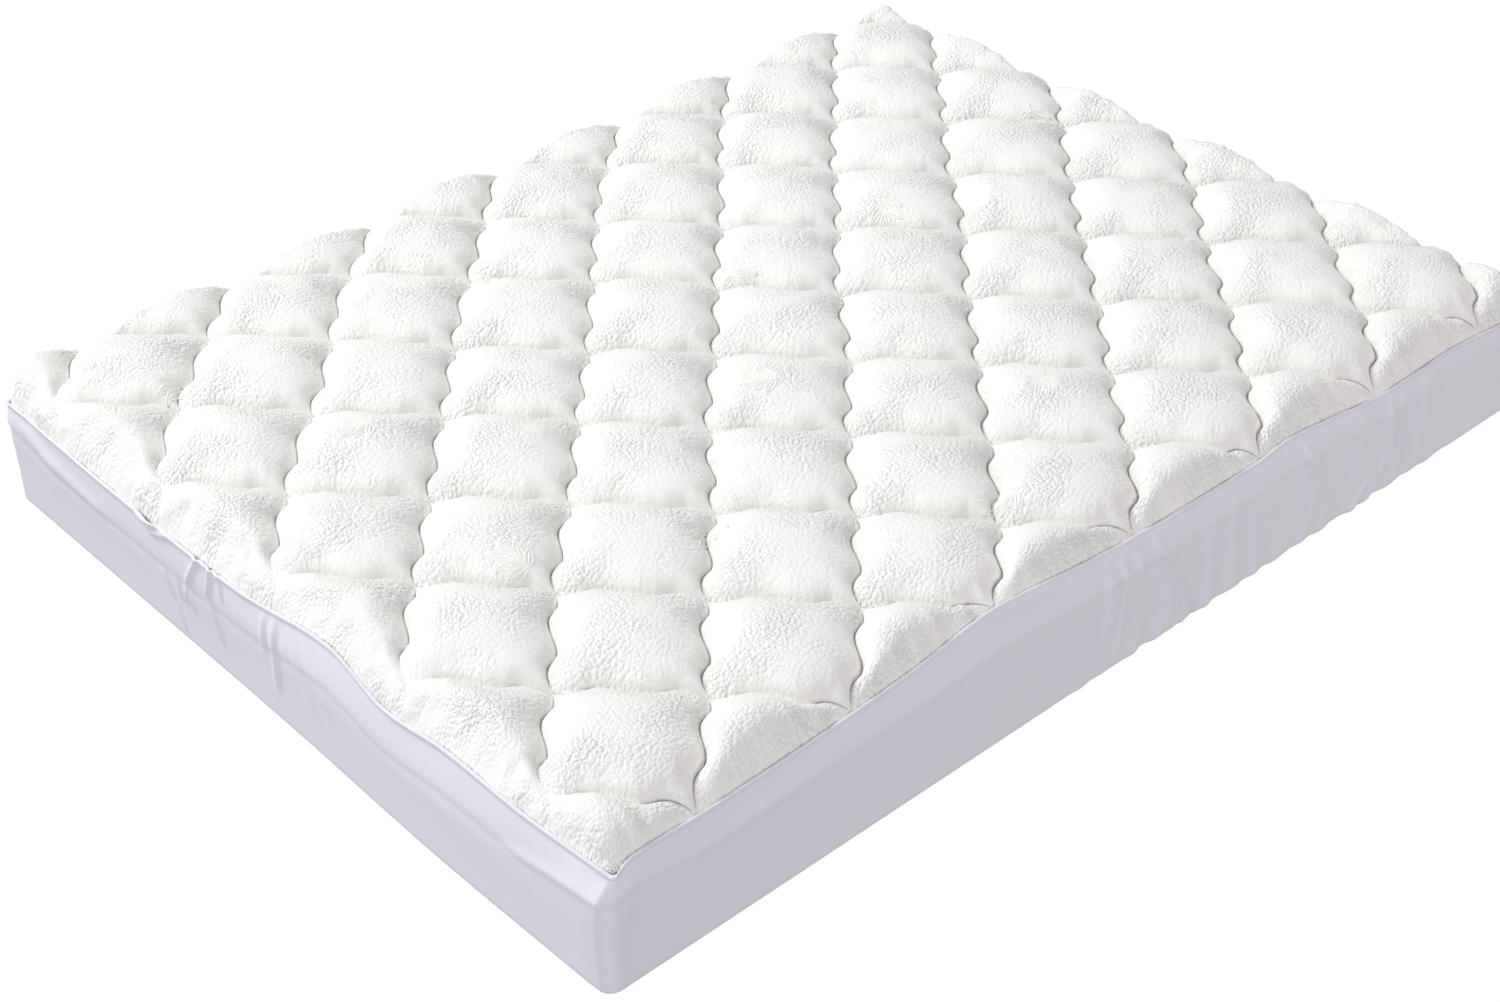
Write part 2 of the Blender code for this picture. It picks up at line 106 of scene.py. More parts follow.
def add_node(
    tree: bpy.types.NodeTree,
    kind: str,
    inputs: Optional[dict] = None,
    **settings: object,
) -> bpy.types.Node:
    """Adds a node, with its settings and its links.

    Args:
        tree: The material's or the modifier's node tree.
        kind: The node's type name.
        inputs: For each input, by name or number, a value or the socket that feeds it.
        settings: The node's own properties.

    Returns:
        The new node.
    """
    node = tree.nodes.new(kind)
    for name, value in settings.items():
        setattr(node, name, value)
    for name, value in (inputs or {}).items():
        if isinstance(value, bpy.types.NodeSocket):
            tree.links.new(value, node.inputs[name])
        else:
            node.inputs[name].default_value = value
    return node


def new_piece(
    name: str, points: Array, faces: list, edges: Optional[list] = None
) -> bpy.types.Object:
    """Makes a mesh object at the origin from points, faces and edges, smooth shaded.

    Args:
        name: The piece's name.
        points: One row of three coordinates for each vertex.
        faces: Vertex numbers for each face.
        edges: Vertex numbers for each edge that belongs to no face.

    Returns:
        The object, linked to the scene.
    """
    mesh = bpy.data.meshes.new(name)
    mesh.from_pydata(points.tolist(), edges or [], faces)
    mesh.shade_smooth()
    piece = bpy.data.objects.new(name, mesh)
    bpy.context.scene.collection.objects.link(piece)
    return piece


def lines_piece(name: str, lines: list) -> bpy.types.Object:
    """Makes an object at the origin of edges only, from lines of points.

    Args:
        name: The piece's name.
        lines: For each line, its points in order.

    Returns:
        The object, linked to the scene.
    """
    edges, count = [], 0
    for line in lines:
        edges += [(count + k, count + k + 1) for k in range(len(line) - 1)]
        count += len(line)
    points = np.array([point for line in lines for point in line], dtype=float)
    return new_piece(name, points, [], edges)


def start_tree(name: str, sizes: dict[str, float]) -> tuple[bpy.types.NodeTree, bpy.types.Node]:
    """Starts a Geometry Nodes tree that takes a mesh of lines and some sizes.

    Args:
        name: The tree's name.
        sizes: The sizes that it takes, by name.

    Returns:
        The tree and the node that its inputs come from.
    """
    tree = bpy.data.node_groups.new(name, "GeometryNodeTree")
    sockets = tree.interface
    sockets.new_socket("Geometry", in_out="INPUT", socket_type="NodeSocketGeometry")
    for size in sizes:
        sockets.new_socket(size, in_out="INPUT", socket_type="NodeSocketFloat")
    sockets.new_socket("Geometry", in_out="OUTPUT", socket_type="NodeSocketGeometry")
    return tree, tree.nodes.new("NodeGroupInput")


def end_tree(
    tree: bpy.types.NodeTree, made: bpy.types.NodeSocket, material: bpy.types.Material
) -> None:
    """Ends a tree: what it made becomes real and takes its finish.

    Args:
        tree: The tree.
        made: The socket that gives what it made.
        material: The finish.
    """
    real = add_node(tree, "GeometryNodeRealizeInstances", {"Geometry": made})
    dressed = add_node(
        tree,
        "GeometryNodeSetMaterial",
        {"Geometry": real.outputs[0], "Material": material},
    )
    end = tree.nodes.new("NodeGroupOutput")
    tree.links.new(dressed.outputs[0], end.inputs[0])


def run_tree(piece: bpy.types.Object, tree: bpy.types.NodeTree, sizes: dict[str, float]) -> None:
    """Runs a tree on a piece's lines, and keeps what it makes as the piece's mesh.

    Args:
        piece: The piece, with its lines.
        tree: The tree.
        sizes: The tree's sizes, by name.
    """
    modifier = piece.modifiers.new(tree.name, "NODES")
    modifier.node_group = tree
    for item in tree.interface.items_tree:
        if item.name in sizes:
            modifier[item.identifier] = sizes[item.name]
    bake_modifiers(piece)
    piece.data.shade_smooth()


def bake_modifiers(piece: bpy.types.Object) -> None:
    """Turns the piece's modifiers into its plain mesh, and removes them.

    Args:
        piece: The piece.
    """
    graph = bpy.context.evaluated_depsgraph_get()
    made = bpy.data.meshes.new_from_object(piece.evaluated_get(graph), depsgraph=graph)
    piece.modifiers.clear()
    piece.data = made


def vertex_places(mesh: bpy.types.Mesh) -> Array:
    """The mesh's vertices, as one row of three coordinates each.

    Args:
        mesh: The mesh.

    Returns:
        An array of one row for each vertex.
    """
    places = np.empty(len(mesh.vertices) * 3)
    mesh.vertices.foreach_get("co", places)
    return places.reshape(-1, 3)


def write_values(mesh: bpy.types.Mesh, name: str, values: Array) -> None:
    """Stores one number for each vertex, under a name that a material reads."""
    layer = mesh.attributes.new(name, "FLOAT", "POINT")
    layer.data.foreach_set("value", np.ascontiguousarray(values, dtype=np.float32))


def write_uv(mesh: bpy.types.Mesh, name: str, flat: Array) -> None:
    """Stores two numbers for each vertex as a UV map, under a name that a material reads.

    Args:
        mesh: The mesh.
        name: The UV map's name.
        flat: One row of two numbers for each vertex.
    """
    layer = mesh.uv_layers.new(name=name)
    corners = np.empty(len(mesh.loops), dtype=np.int32)
    mesh.loops.foreach_get("vertex_index", corners)
    layer.data.foreach_set("uv", flat[corners].astype(np.float32).ravel())


# The seam between the quilted top and the skirt


class SeamRow(NamedTuple):
    """A place on the seam: how far along its side, how far in from the skirt, how high."""

    along: float
    inset: float
    height: float


FRONT_SEAM = (
    SeamRow(-0.980, 0.014, 0.195),
    SeamRow(-0.944, 0.016, 0.209),
    SeamRow(-0.820, 0.018, 0.206),
    SeamRow(-0.623, 0.020, 0.210),
    SeamRow(-0.433, 0.026, 0.216),
    SeamRow(-0.284, 0.034, 0.227),
    SeamRow(-0.179, 0.032, 0.221),
    SeamRow(-0.064, 0.027, 0.213),
    SeamRow(0.112, 0.022, 0.209),
    SeamRow(0.297, 0.020, 0.211),
    SeamRow(0.381, 0.022, 0.216),
    SeamRow(0.606, 0.012, 0.200),
    SeamRow(0.785, 0.012, 0.203),
    SeamRow(0.930, 0.010, 0.193),
    SeamRow(1.000, 0.012, 0.190),
)
LEFT_SEAM = (
    SeamRow(-0.761, 0.032, 0.195),
    SeamRow(-0.715, 0.024, 0.203),
    SeamRow(-0.595, 0.015, 0.207),
    SeamRow(-0.428, 0.015, 0.207),
    SeamRow(-0.296, 0.011, 0.197),
    SeamRow(-0.157, 0.019, 0.219),
    SeamRow(0.073, 0.010, 0.196),
    SeamRow(0.445, 0.008, 0.192),
    SeamRow(0.602, 0.009, 0.194),
    SeamRow(0.730, 0.010, 0.195),
    SeamRow(0.765, 0.012, 0.190),
)
BACK_SEAM = (
    SeamRow(-1.000, 0.012, 0.190),
    SeamRow(-0.930, 0.010, 0.202),
    SeamRow(-0.500, 0.010, 0.208),
    SeamRow(0.000, 0.012, 0.213),
    SeamRow(0.450, 0.010, 0.206),
    SeamRow(0.930, 0.010, 0.202),
    SeamRow(1.000, 0.012, 0.190),
)
RIGHT_SEAM = (
    SeamRow(-0.765, 0.012, 0.190),
    SeamRow(-0.710, 0.012, 0.204),
    SeamRow(-0.200, 0.014, 0.211),
    SeamRow(0.250, 0.012, 0.205),
    SeamRow(0.710, 0.012, 0.204),
    SeamRow(0.765, 0.012, 0.190),
)


class Edge(Enum):
    """The four sides, in order round the topper, each with its outward direction."""

    FRONT = (0, -1)
    RIGHT = (1, 0)
    BACK = (0, 1)
    LEFT = (-1, 0)


@dataclass
class Side:
    """One side of the topper: its half length, how far out it lies, the seam, how high
    the skirt's band is, how wide the panel's rolled edge is, how wide the strip is in
    which the quilting fades into it, and how far in the cloth is eased to the seam."""

    edge: Edge
    half_along: float
    half_out: float
    rows: tuple[SeamRow, ...]
    band: float
    roll: float
    fade: float = 0.0
    ease: float = 0.160

    @property
    def out(self) -> Array:
        """The direction away from the topper."""
        return np.array(self.edge.value, dtype=float)

    @property
    def forward(self) -> Array:
        """The direction in which the skirt's columns run, anticlockwise from above."""
        return np.array((-self.edge.value[1], self.edge.value[0]), dtype=float)

    @property
    def sense(self) -> float:
        """1 where the seam's rows run the way the columns do, and -1 where they don't."""
        return float(self.forward.sum())

    @property
    def axis(self) -> int:
        """0 where the side faces along X, and 1 where it faces along Y."""
        return 1 if self.edge in (Edge.FRONT, Edge.BACK) else 0

    def seam(self, along: Array) -> tuple[Array, Array]:
        """Finds the seam's inset and height on a smooth curve through its rows.

        Args:
            along: Places along the side, as X or Y.

        Returns:
            The insets and the heights.
        """
        table = np.array(self.rows)
        places = table[:, 0]
        along = np.clip(along, places[0], places[-1])
        after = np.clip(np.searchsorted(places, along, side="right"), 1, len(places) - 1)
        before = np.maximum(after - 2, 0)
        beyond = np.minimum(after + 1, len(places) - 1)
        span = places[after] - places[after - 1]
        t = (along - places[after - 1]) / span
        found = []
        for column in (1, 2):
            values = table[:, column]
            slope_a = (values[after] - values[before]) / (places[after] - places[before])
            slope_b = (values[beyond] - values[after - 1]) / (
                places[beyond] - places[after - 1]
            )
            found.append(
                (2 * t**3 - 3 * t**2 + 1) * values[after - 1]
                + (t**3 - 2 * t**2 + t) * span * slope_a
                + (3 * t**2 - 2 * t**3) * values[after]
                + (t**3 - t**2) * span * slope_b
            )
        return found[0], found[1]


@dataclass
class Outline:
    """The topper's outer size and its four sides."""

    length: float = 2.020
    width: float = 1.550
    seam_corner: float = 0.006
    sides: list[Side] = field(init=False)

    def __post_init__(self) -> None:
        """Makes the four sides, in the order of the enum."""
        x, y = self.length / 2, self.width / 2
        self.sides = [
            Side(Edge.FRONT, x, y, FRONT_SEAM, band=0.045, roll=0.090),
            Side(Edge.RIGHT, y, x, RIGHT_SEAM, band=0.050, roll=0.026),
            Side(Edge.BACK, x, y, BACK_SEAM, band=0.050, roll=0.022, ease=0.300),
            Side(Edge.LEFT, y, x, LEFT_SEAM, band=0.060, roll=0.075, fade=0.075),
        ]

    def corner_rows(self, number: int) -> tuple[SeamRow, SeamRow]:
        """The seam's last row on a side and its first on the next, as columns run.

        Args:
            number: The side's number, in the order of the sides.

        Returns:
            The two rows of the seam that meet at the corner.
        """
        here = self.sides[number]
        following = self.sides[(number + 1) % 4]
        last = here.rows[-1] if here.sense > 0 else here.rows[0]
        first = following.rows[0] if following.sense > 0 else following.rows[-1]
        return last, first

    def seam_ends(self, number: int) -> tuple[float, float]:
        """Where the straight part of a side's seam starts and ends, as X or Y.

        Args:
            number: The side's number.

        Returns:
            The lower end and the higher end.
        """
        side = self.sides[number]
        before = self.corner_rows((number - 1) % 4)[0]
        after = self.corner_rows(number)[1]
        ends = (
            -side.sense * (side.half_along - before.inset - self.seam_corner),
            side.sense * (side.half_along - after.inset - self.seam_corner),
        )
        return min(ends), max(ends)


# The quilted top


@dataclass
class Quilting:
    """The wavy diamonds: u and v are whole numbers on the two families of lines."""

    half_x: float = 0.1424
    half_y: float = 0.1570
    start_x: float = -0.8371
    start_y: float = -0.7686
    wave_depth: float = 0.0108
    waves_a_side: int = 2
    wave_phase: float = 0.35
    wave_fade: float = 3.0
    drift: float = 0.003

    def wave(self, t: Array) -> Array:
        """A stitch line's sideways wave, t running from a diamond's far corner."""
        return self.wave_depth * np.cos(
            2 * math.pi * self.waves_a_side * (t - self.wave_phase)
        )

    def flat(self, i: Array, j: Array) -> tuple[Array, Array]:
        """Places points of the lattice on the flat cloth.

        Args:
            i: Diamond halves along X, which is u less v.
            j: Diamond halves along Y, which is u and v together.

        Returns:
            The flat X and Y.
        """
        fu = np.mod((j + i) / 2, 1.0)
        fv = np.mod((j - i) / 2, 1.0)
        near_u = np.maximum(1 - np.sin(math.pi * fu), 0) ** self.wave_fade
        near_v = np.maximum(1 - np.sin(math.pi * fv), 0) ** self.wave_fade
        sway = self.wave(1 - fv) * near_u + self.wave(1 - fu) * near_v
        sway -= self.wave(np.zeros_like(fu)) * near_u * near_v
        drift_x = np.sin(1.9 * i + 0.7 * j) + np.sin(0.8 * i - 1.7 * j + 2.0)
        drift_y = np.sin(1.3 * i + 1.9 * j + 1.0) + np.sin(2.2 * i - 0.6 * j)
        x = self.start_x + self.half_x * i + self.drift * drift_x
        y = self.start_y + self.half_y * j + self.drift * drift_y + sway
        return x, y

    @property
    def side(self) -> float:
        """The length of a diamond's side."""
        return math.hypot(self.half_x, self.half_y)


# The face's cloth, as the settings of Blender's cloth simulation.
CLOTH_SETTINGS = {
    "quality": 6,
    "mass": 0.35,
    "tension_stiffness": 12,
    "compression_stiffness": 12,
    "shear_stiffness": 4,
    "bending_stiffness": 0.25,
    "air_damping": 4,
    "pin_stiffness": 1,
    "use_pressure": True,
}


@dataclass(frozen=True)
class Puckers:
    """The face's small folds, each with its height and pitch, and how far they reach."""

    stitch: tuple[float, float] = (0.0009, 0.026)
    stitch_reach: float = 0.012
    edge: tuple[float, float] = (0.0034, 0.047)
    edge_fine: tuple[float, float] = (0.0011, 0.021)
    edge_patch: float = 0.210
    edge_start: float = 0.014
    edge_end: tuple[float, float] = (0.030, 0.080)
    crumple: tuple[float, float, float] = (0.0008, 0.110, 0.090)
    swell: float = 0.0016
    swell_reach: float = 0.007
    stitch_clear: float = 0.008
    # The next three only set where the stitch lines' painted shade is left off: at the crossings and
    # in the faded strip by the edge.
    crossing_clear: float = 0.0015
    crossing: tuple[float, float] = (0.002, 0.014)
    fade_start: float = 0.4

    def beside_stitch(self, away: Array, along: Array, line: Array) -> Array:
        """Heights of the puckers beside one family of stitch lines.

        Args:
            away: How far each point is from its line.
            along: How far along the line it is.
            line: The line's number.

        Returns:
            Heights over the face.
        """
        height, pitch = self.stitch
        beside = (away / self.stitch_reach) * np.exp(1 - away / self.stitch_reach)
        return height * beside * ripple(along, pitch, 5.1 * line)

    def from_edge(self, away: Array, along: Array, number: int) -> Array:
        """Heights of the folds that run in from one cut edge.

        Args:
            away: How far each point is from the edge.
            along: How far along the edge it is.
            number: The edge's number.

        Returns:
            Heights over the face.
        """
        height, pitch = self.edge
        fine_height, fine_pitch = self.edge_fine
        beside = soft_ramp(away, 0, self.edge_start) * (1 - soft_ramp(away, *self.edge_end))
        uneven = 0.5 + 0.5 * ripple(along, self.edge_patch, 2.1 * number)
        folds = height * uneven * beside * ripple(along, pitch, 1.3 * number + 0.4)
        return folds + fine_height * beside * ripple(along, fine_pitch, 2.7 * number)

    def crumples(self, x: Array, y: Array) -> Array:
        """Heights of the wide, shallow unevenness of the whole face."""
        height, long, short = self.crumple
        return height * ripple(x + 0.4 * y, long, 0.3) * ripple(y - 0.3 * x, short, 1.9)


@dataclass
class QuiltedTop:
    """The filled panel, its face sewn down along wavy diamonds and at its edge."""

    outline: Outline
    quilting: Quilting
    puckers: Puckers = Puckers()
    left: float = -1.022
    right: float = 1.000
    front: float = -0.767
    back: float = 0.796
    underside: float = 0.1812
    seam_gap: float = 0.0026
    stitch_height: float = 0.232
    puff_height: float = 0.041
    dome_round: float = 2.2
    dome_fullness: float = 0.66
    dome_corners: float = 1.7
    fill_uneven: float = 0.045
    faded_puff: float = 0.5
    snap_reach: float = 0.060
    corner_reach: float = 0.012
    seam_blend: float = 0.004
    stitch_roll: float = 0.6
    puff_roll: float = 0.8
    side_spread: float = 0.30
    side_upright: float = 0.012
    lines: range = range(-9, 20)
    seam_clear: float = 0.006
    fade_clear: float = 0.85
    steps: int = 18
    sim_frames: int = 22
    sim_pressure: float = 1.3
    spare_cloth: float = 0.02
    move_cap: float = 0.008
    thread_sunk: float = 0.0004

    def distances(self, x: Array, y: Array) -> tuple[Array, Array, Array, Array]:
        """How far flat points are from the four cut edges, in the order of the sides."""
        return y - self.front, self.right - x, self.back - y, x - self.left

    def snapped(self, i: Array, j: Array, ends: dict) -> tuple[Array, Array]:
        """Flat places of lattice points, with the outermost rows moved onto the cut edges.

        Args:
            i: Diamond halves along X.
            j: Diamond halves along Y.
            ends: The lattice's value at each cut edge, by the edge.

        Returns:
            The flat X and Y.
        """
        x, y = self.quilting.flat(i, j)
        new_x, new_y = x.copy(), y.copy()
        rows = (
            (Edge.FRONT, 1, self.front, self.quilting.half_y * (j - ends[Edge.FRONT])),
            (Edge.BACK, 1, self.back, self.quilting.half_y * (ends[Edge.BACK] - j)),
            (Edge.LEFT, 0, self.left, self.quilting.half_x * (i - ends[Edge.LEFT])),
            (Edge.RIGHT, 0, self.right, self.quilting.half_x * (ends[Edge.RIGHT] - i)),
        )
        for edge, axis, cut, away in rows:
            at = np.full_like(i, ends[edge])
            on_edge = self.quilting.flat(i, at) if axis else self.quilting.flat(at, j)
            share = np.clip(1 - away / self.snap_reach, 0, 1) ** 2
            move = (cut - on_edge[axis]) * share
            if axis:
                new_y += move
            else:
                new_x += move
        return new_x, new_y

    def place_along(self, x: Array, y: Array, number: int) -> Array:
        """Places of flat points along one side of the sewn panel.

        Args:
            x: Flat X.
            y: Flat Y.
            number: The side's number.

        Returns:
            Places along the side, as X or Y.
        """
        front, right, back, left = self.outline.sides
        if number in (0, 2):
            flat, cuts, sides = x, (self.left, self.right), (left, right)
        else:
            flat, cuts, sides = y, (self.front, self.back), (front, back)
        value = flat.copy()
        for cut, side, end in zip(cuts, sides, self.outline.seam_ends(number)):
            value += (end - cut) * np.clip(1 - np.abs(flat - cut) / side.ease, 0, 1) ** 2
        return value

    def sewn(self, x: Array, y: Array, puff: Array) -> Array:
        """Takes flat, puffed points to where they lie once the edges are sewn down.

        Args:
            x: Flat X.
            y: Flat Y.
            puff: How far each point stands above the stitches.

        Returns:
            One row of three coordinates for each point.
        """
        place = [x.copy(), y.copy()]
        rise = np.ones_like(x)
        nearness = np.zeros_like(x)
        height = np.zeros_like(x)
        cuts = (self.front, self.right, self.back, self.left)
        for number, away in enumerate(self.distances(x, y)):
            side = self.outline.sides[number]
            along = self.place_along(x, y, number)
            low, high = self.outline.seam_ends(number)
            inset, seam = side.seam(along)
            room = np.minimum(along - low, high - along)
            corner = np.clip(1 - room / self.corner_reach, 0, 1)
            inset = inset + self.seam_gap + self.seam_gap * corner
            share = np.clip(1 - away / side.ease, 0, 1) ** 2
            target = side.out[side.axis] * (side.half_out - inset)
            place[side.axis] += (target - cuts[number]) * share
            rise *= 1 - (1 - ramp(away, 0, side.roll)) ** 2
            if side.fade:
                lost = 1 - ramp(away, 0, side.fade)
                puff = puff + (self.faded_puff * self.puff_height - puff) * lost
            weight = 1 / (np.maximum(away, 0) + self.seam_blend) ** 2
            nearness += weight
            height += weight * seam
        seam = height / nearness
        stitched = seam + (self.stitch_height - seam) * rise**self.stitch_roll
        return np.column_stack((place[0], place[1], stitched + puff * rise**self.puff_roll))

    def fill(self, i: Array, j: Array) -> Array:
        """How high each diamond's filling stands, uneven from one to the next.

        Args:
            i: Diamond halves along X.
            j: Diamond halves along Y.

        Returns:
            Heights above the stitches.
        """
        across = np.floor((j + i) / 2)
        up = np.floor((j - i) / 2)
        uneven = np.sin(12.9 * across + 78.2 * up) + np.sin(39.3 * across + 11.1 * up)
        return self.puff_height * (1 + self.fill_uneven * uneven)

    def dome(self, fu: Array, fv: Array) -> Array:
        """How full a diamond is, from 0 on its stitch lines to 1 in its middle.

        Args:
            fu: The place across the diamond from one line to the next, from 0 to 1.
            fv: The same between the other two lines.

        Returns:
            Shares of the diamond's height.
        """
        inverse = -1.0
        for part in (fu, fv):
            slope = np.maximum(1 - np.abs(2 * part - 1) ** self.dome_round, 1e-9)
            inverse = inverse + slope ** (-self.dome_fullness * self.dome_corners)
        return inverse ** (-1 / self.dome_corners)

    def ends(self) -> dict[Edge, float]:
        """The lattice's value at each cut edge, a whole and even number of steps.

        Returns:
            The values by edge: j at the front and the back, and i at the left and the right.
        """
        n, q = self.steps, self.quilting
        cuts = (
            (Edge.FRONT, (self.front - q.start_y) / q.half_y),
            (Edge.BACK, (self.back - q.start_y) / q.half_y),
            (Edge.LEFT, (self.left - q.start_x) / q.half_x),
            (Edge.RIGHT, (self.right - q.start_x) / q.half_x),
        )
        return {edge: 2 * round(cut * n / 2) / n for edge, cut in cuts}

    def lattice(self) -> tuple[Array, Array, list]:
        """Lays out the face's mesh, its rows running along the cut edges.

        Returns:
            Each vertex's i and j, and the faces.
        """
        low_j, high_j, low_i, high_i = (round(end * self.steps) for end in self.ends().values())
        number = {}
        for j in range(low_j, high_j + 1):
            for i in range(low_i + (j - low_j) % 2, high_i + 1, 2):
                number[i, j] = len(number)
        faces = []
        for j in range(low_j, high_j + 1):
            for i in range(low_i + (j - low_j + 1) % 2, high_i + 1, 2):
                corners = ((i, j - 1), (i + 1, j), (i, j + 1), (i - 1, j))
                kept = [number[c] for c in corners if c in number]
                if len(kept) > 2:
                    faces.append(kept)
        ij = np.array(list(number), dtype=float) / self.steps
        return ij[:, 0], ij[:, 1], faces

    def build(self) -> bpy.types.Object:
        """Makes the face, puffs it up, refines it and closes its sides and underside.

        Returns:
            The panel.
        """
        i, j, faces = self.lattice()
        x, y = self.snapped(i, j, self.ends())
        fu, fv = np.mod((j + i) / 2, 1.0), np.mod((j - i) / 2, 1.0)
        puff = self.fill(i, j) * self.dome(fu, fv)
        start = self.sewn(x, y, puff)
        piece = new_piece("quilted_top_face", start, faces)
        write_values(piece.data, "lattice_i", i)
        write_values(piece.data, "lattice_j", j)
        write_values(piece.data, "flat_x", x)
        write_values(piece.data, "flat_y", y)
        whole = 0.5 / self.steps
        on_line = (np.minimum(fu, 1 - fu) < whole) | (np.minimum(fv, 1 - fv) < whole)
        on_edge = np.min(self.distances(x, y), axis=0) < 1e-5
        self.inflate(piece, start, on_line | on_edge)
        self.refine(piece, on_line)
        self.gather(piece)
        self.close(piece)
        return piece

    def inflate(self, piece: bpy.types.Object, start: Array, held: Array) -> None:
        """Puffs the face up between its stitches with Blender's cloth simulation.

        Args:
            piece: The face.
            start: Where its vertices stand before.
            held: True for each vertex that is stitched down.
        """
        group = piece.vertex_groups.new(name="stitched")
        group.add(np.flatnonzero(held).tolist(), 1.0, "REPLACE")
        cloth = piece.modifiers.new("inflate", "CLOTH")
        settings = cloth.settings
        for name, value in CLOTH_SETTINGS.items():
            setattr(settings, name, value)
        settings.vertex_group_mass = "stitched"
        settings.shrink_min = -self.spare_cloth
        settings.uniform_pressure_force = self.sim_pressure
        settings.effector_weights.gravity = 0
        cloth.collision_settings.use_collision = False
        cloth.point_cache.frame_start = 1
        cloth.point_cache.frame_end = self.sim_frames
        scene = bpy.context.scene
        for step in range(1, self.sim_frames + 1):
            scene.frame_set(step)
        graph = bpy.context.evaluated_depsgraph_get()
        moved = vertex_places(piece.evaluated_get(graph).data)
        piece.modifiers.clear()
        piece.vertex_groups.clear()
        scene.frame_set(1)
        move = moved - start
        size = np.linalg.norm(move, axis=1, keepdims=True)
        log.info("cloth moved up to %.1f mm, mean %.1f mm", size.max() / MM, size.mean() / MM)
        move *= np.minimum(1.0, self.move_cap / np.maximum(size, 1e-9))
        move[held] = 0.0
        piece.data.vertices.foreach_set("co", (start + move).ravel())
        piece.data.update()

    def refine(self, piece: bpy.types.Object, on_line: Array) -> None:
        """Halves the mesh once, keeping the stitch lines and the edge sharp.

        Args:
            piece: The face.
            on_line: True for each vertex on a stitch line.
        """
        mesh = piece.data
        ends = np.empty(len(mesh.edges) * 2, dtype=np.int32)
        mesh.edges.foreach_get("vertices", ends)
        ends = ends.reshape(-1, 2)
        crease = mesh.attributes.new("crease_edge", "FLOAT", "EDGE")
        crease.data.foreach_set("value", on_line[ends].all(axis=1).astype(np.float32))
        divide = piece.modifiers.new("refine", "SUBSURF")
        divide.levels = divide.render_levels = 1
        divide.boundary_smooth = "ALL"
        bake_modifiers(piece)

    def gather(self, piece: bpy.types.Object) -> None:
        """Adds the puckers beside the stitches and the folds that run in from the edge.

        Args:
            piece: The face.
        """
        mesh, made = piece.data, self.puckers
        values = {}
        for name in ("lattice_i", "lattice_j", "flat_x", "flat_y"):
            read = np.empty(len(mesh.vertices), dtype=np.float32)
            mesh.attributes[name].data.foreach_get("value", read)
            values[name] = read.astype(float)
        i, j = values["lattice_i"], values["lattice_j"]
        x, y = values["flat_x"], values["flat_y"]
        u, v = (j + i) / 2, (j - i) / 2
        side = self.quilting.side
        to_u = np.abs(u - np.round(u)) * side
        to_v = np.abs(v - np.round(v)) * side
        lift = made.beside_stitch(to_u, v * side, np.round(u))
        lift += made.beside_stitch(to_v, u * side, np.round(v))
        near = np.array(self.distances(x, y))
        for number, away in enumerate(near):
            lift += made.from_edge(away, x if number in (0, 2) else y, number)
        lift += made.crumples(x, y)
        room = np.minimum(to_u, to_v)
        lift *= soft_ramp(room, 0.0, made.stitch_clear)
        lift += made.swell * (room / made.swell_reach) * np.exp(1 - room / made.swell_reach)
        places = vertex_places(mesh)
        normals = np.empty(len(mesh.vertices) * 3)
        mesh.vertices.foreach_get("normal", normals)
        places += normals.reshape(-1, 3) * lift[:, None]
        mesh.vertices.foreach_set("co", places.ravel())
        mesh.update()
        # Where the stitch grooves' painted shade goes: the distance to the nearest stitch line,
        # pushed out at the crossings and in the faded strip by the left edge so that no painted
        # shade lands there.
        crossing = 1 - ramp(np.maximum(to_u, to_v), *made.crossing)
        room = room + made.crossing_clear * crossing
        for edge_side, away in zip(self.outline.sides, near):
            fade = edge_side.fade
            if fade:
                room = room + fade * (1 - ramp(away, made.fade_start * fade, fade))
        write_values(mesh, "stitch_shade_room", room)
        write_uv(mesh, "cloth", np.column_stack((x, y)))
        write_uv(mesh, "diamonds", np.column_stack((u, v)))
        for name in values:
            mesh.attributes.remove(mesh.attributes[name])

    def close(self, piece: bpy.types.Object) -> None:
        """Turns the edge down inside the skirt and closes the underside.

        Args:
            piece: The face.
        """
        bm = bmesh.new()
        bm.from_mesh(piece.data)
        rim = [edge for edge in bm.edges if edge.is_boundary]
        made = bmesh.ops.extrude_edge_only(bm, edges=rim)["geom"]
        half_x, half_y = self.outline.length / 2, self.outline.width / 2
        for vert in (g for g in made if isinstance(g, bmesh.types.BMVert)):
            spread = self.side_spread * max(vert.co.z - self.underside - self.side_upright, 0.0)
            if half_x - abs(vert.co.x) < half_y - abs(vert.co.y):
                vert.co.x += math.copysign(spread, vert.co.x)
            else:
                vert.co.y += math.copysign(spread, vert.co.y)
            vert.co.z = self.underside
        middle = bm.verts.new((0.0, 0.0, self.underside))
        for edge in (g for g in made if isinstance(g, bmesh.types.BMEdge)):
            if edge.is_boundary:
                bm.faces.new((edge.verts[0], edge.verts[1], middle))
        for face in bm.faces:
            face.smooth = True
        bmesh.ops.recalc_face_normals(bm, faces=bm.faces[:])
        bm.to_mesh(piece.data)
        bm.free()

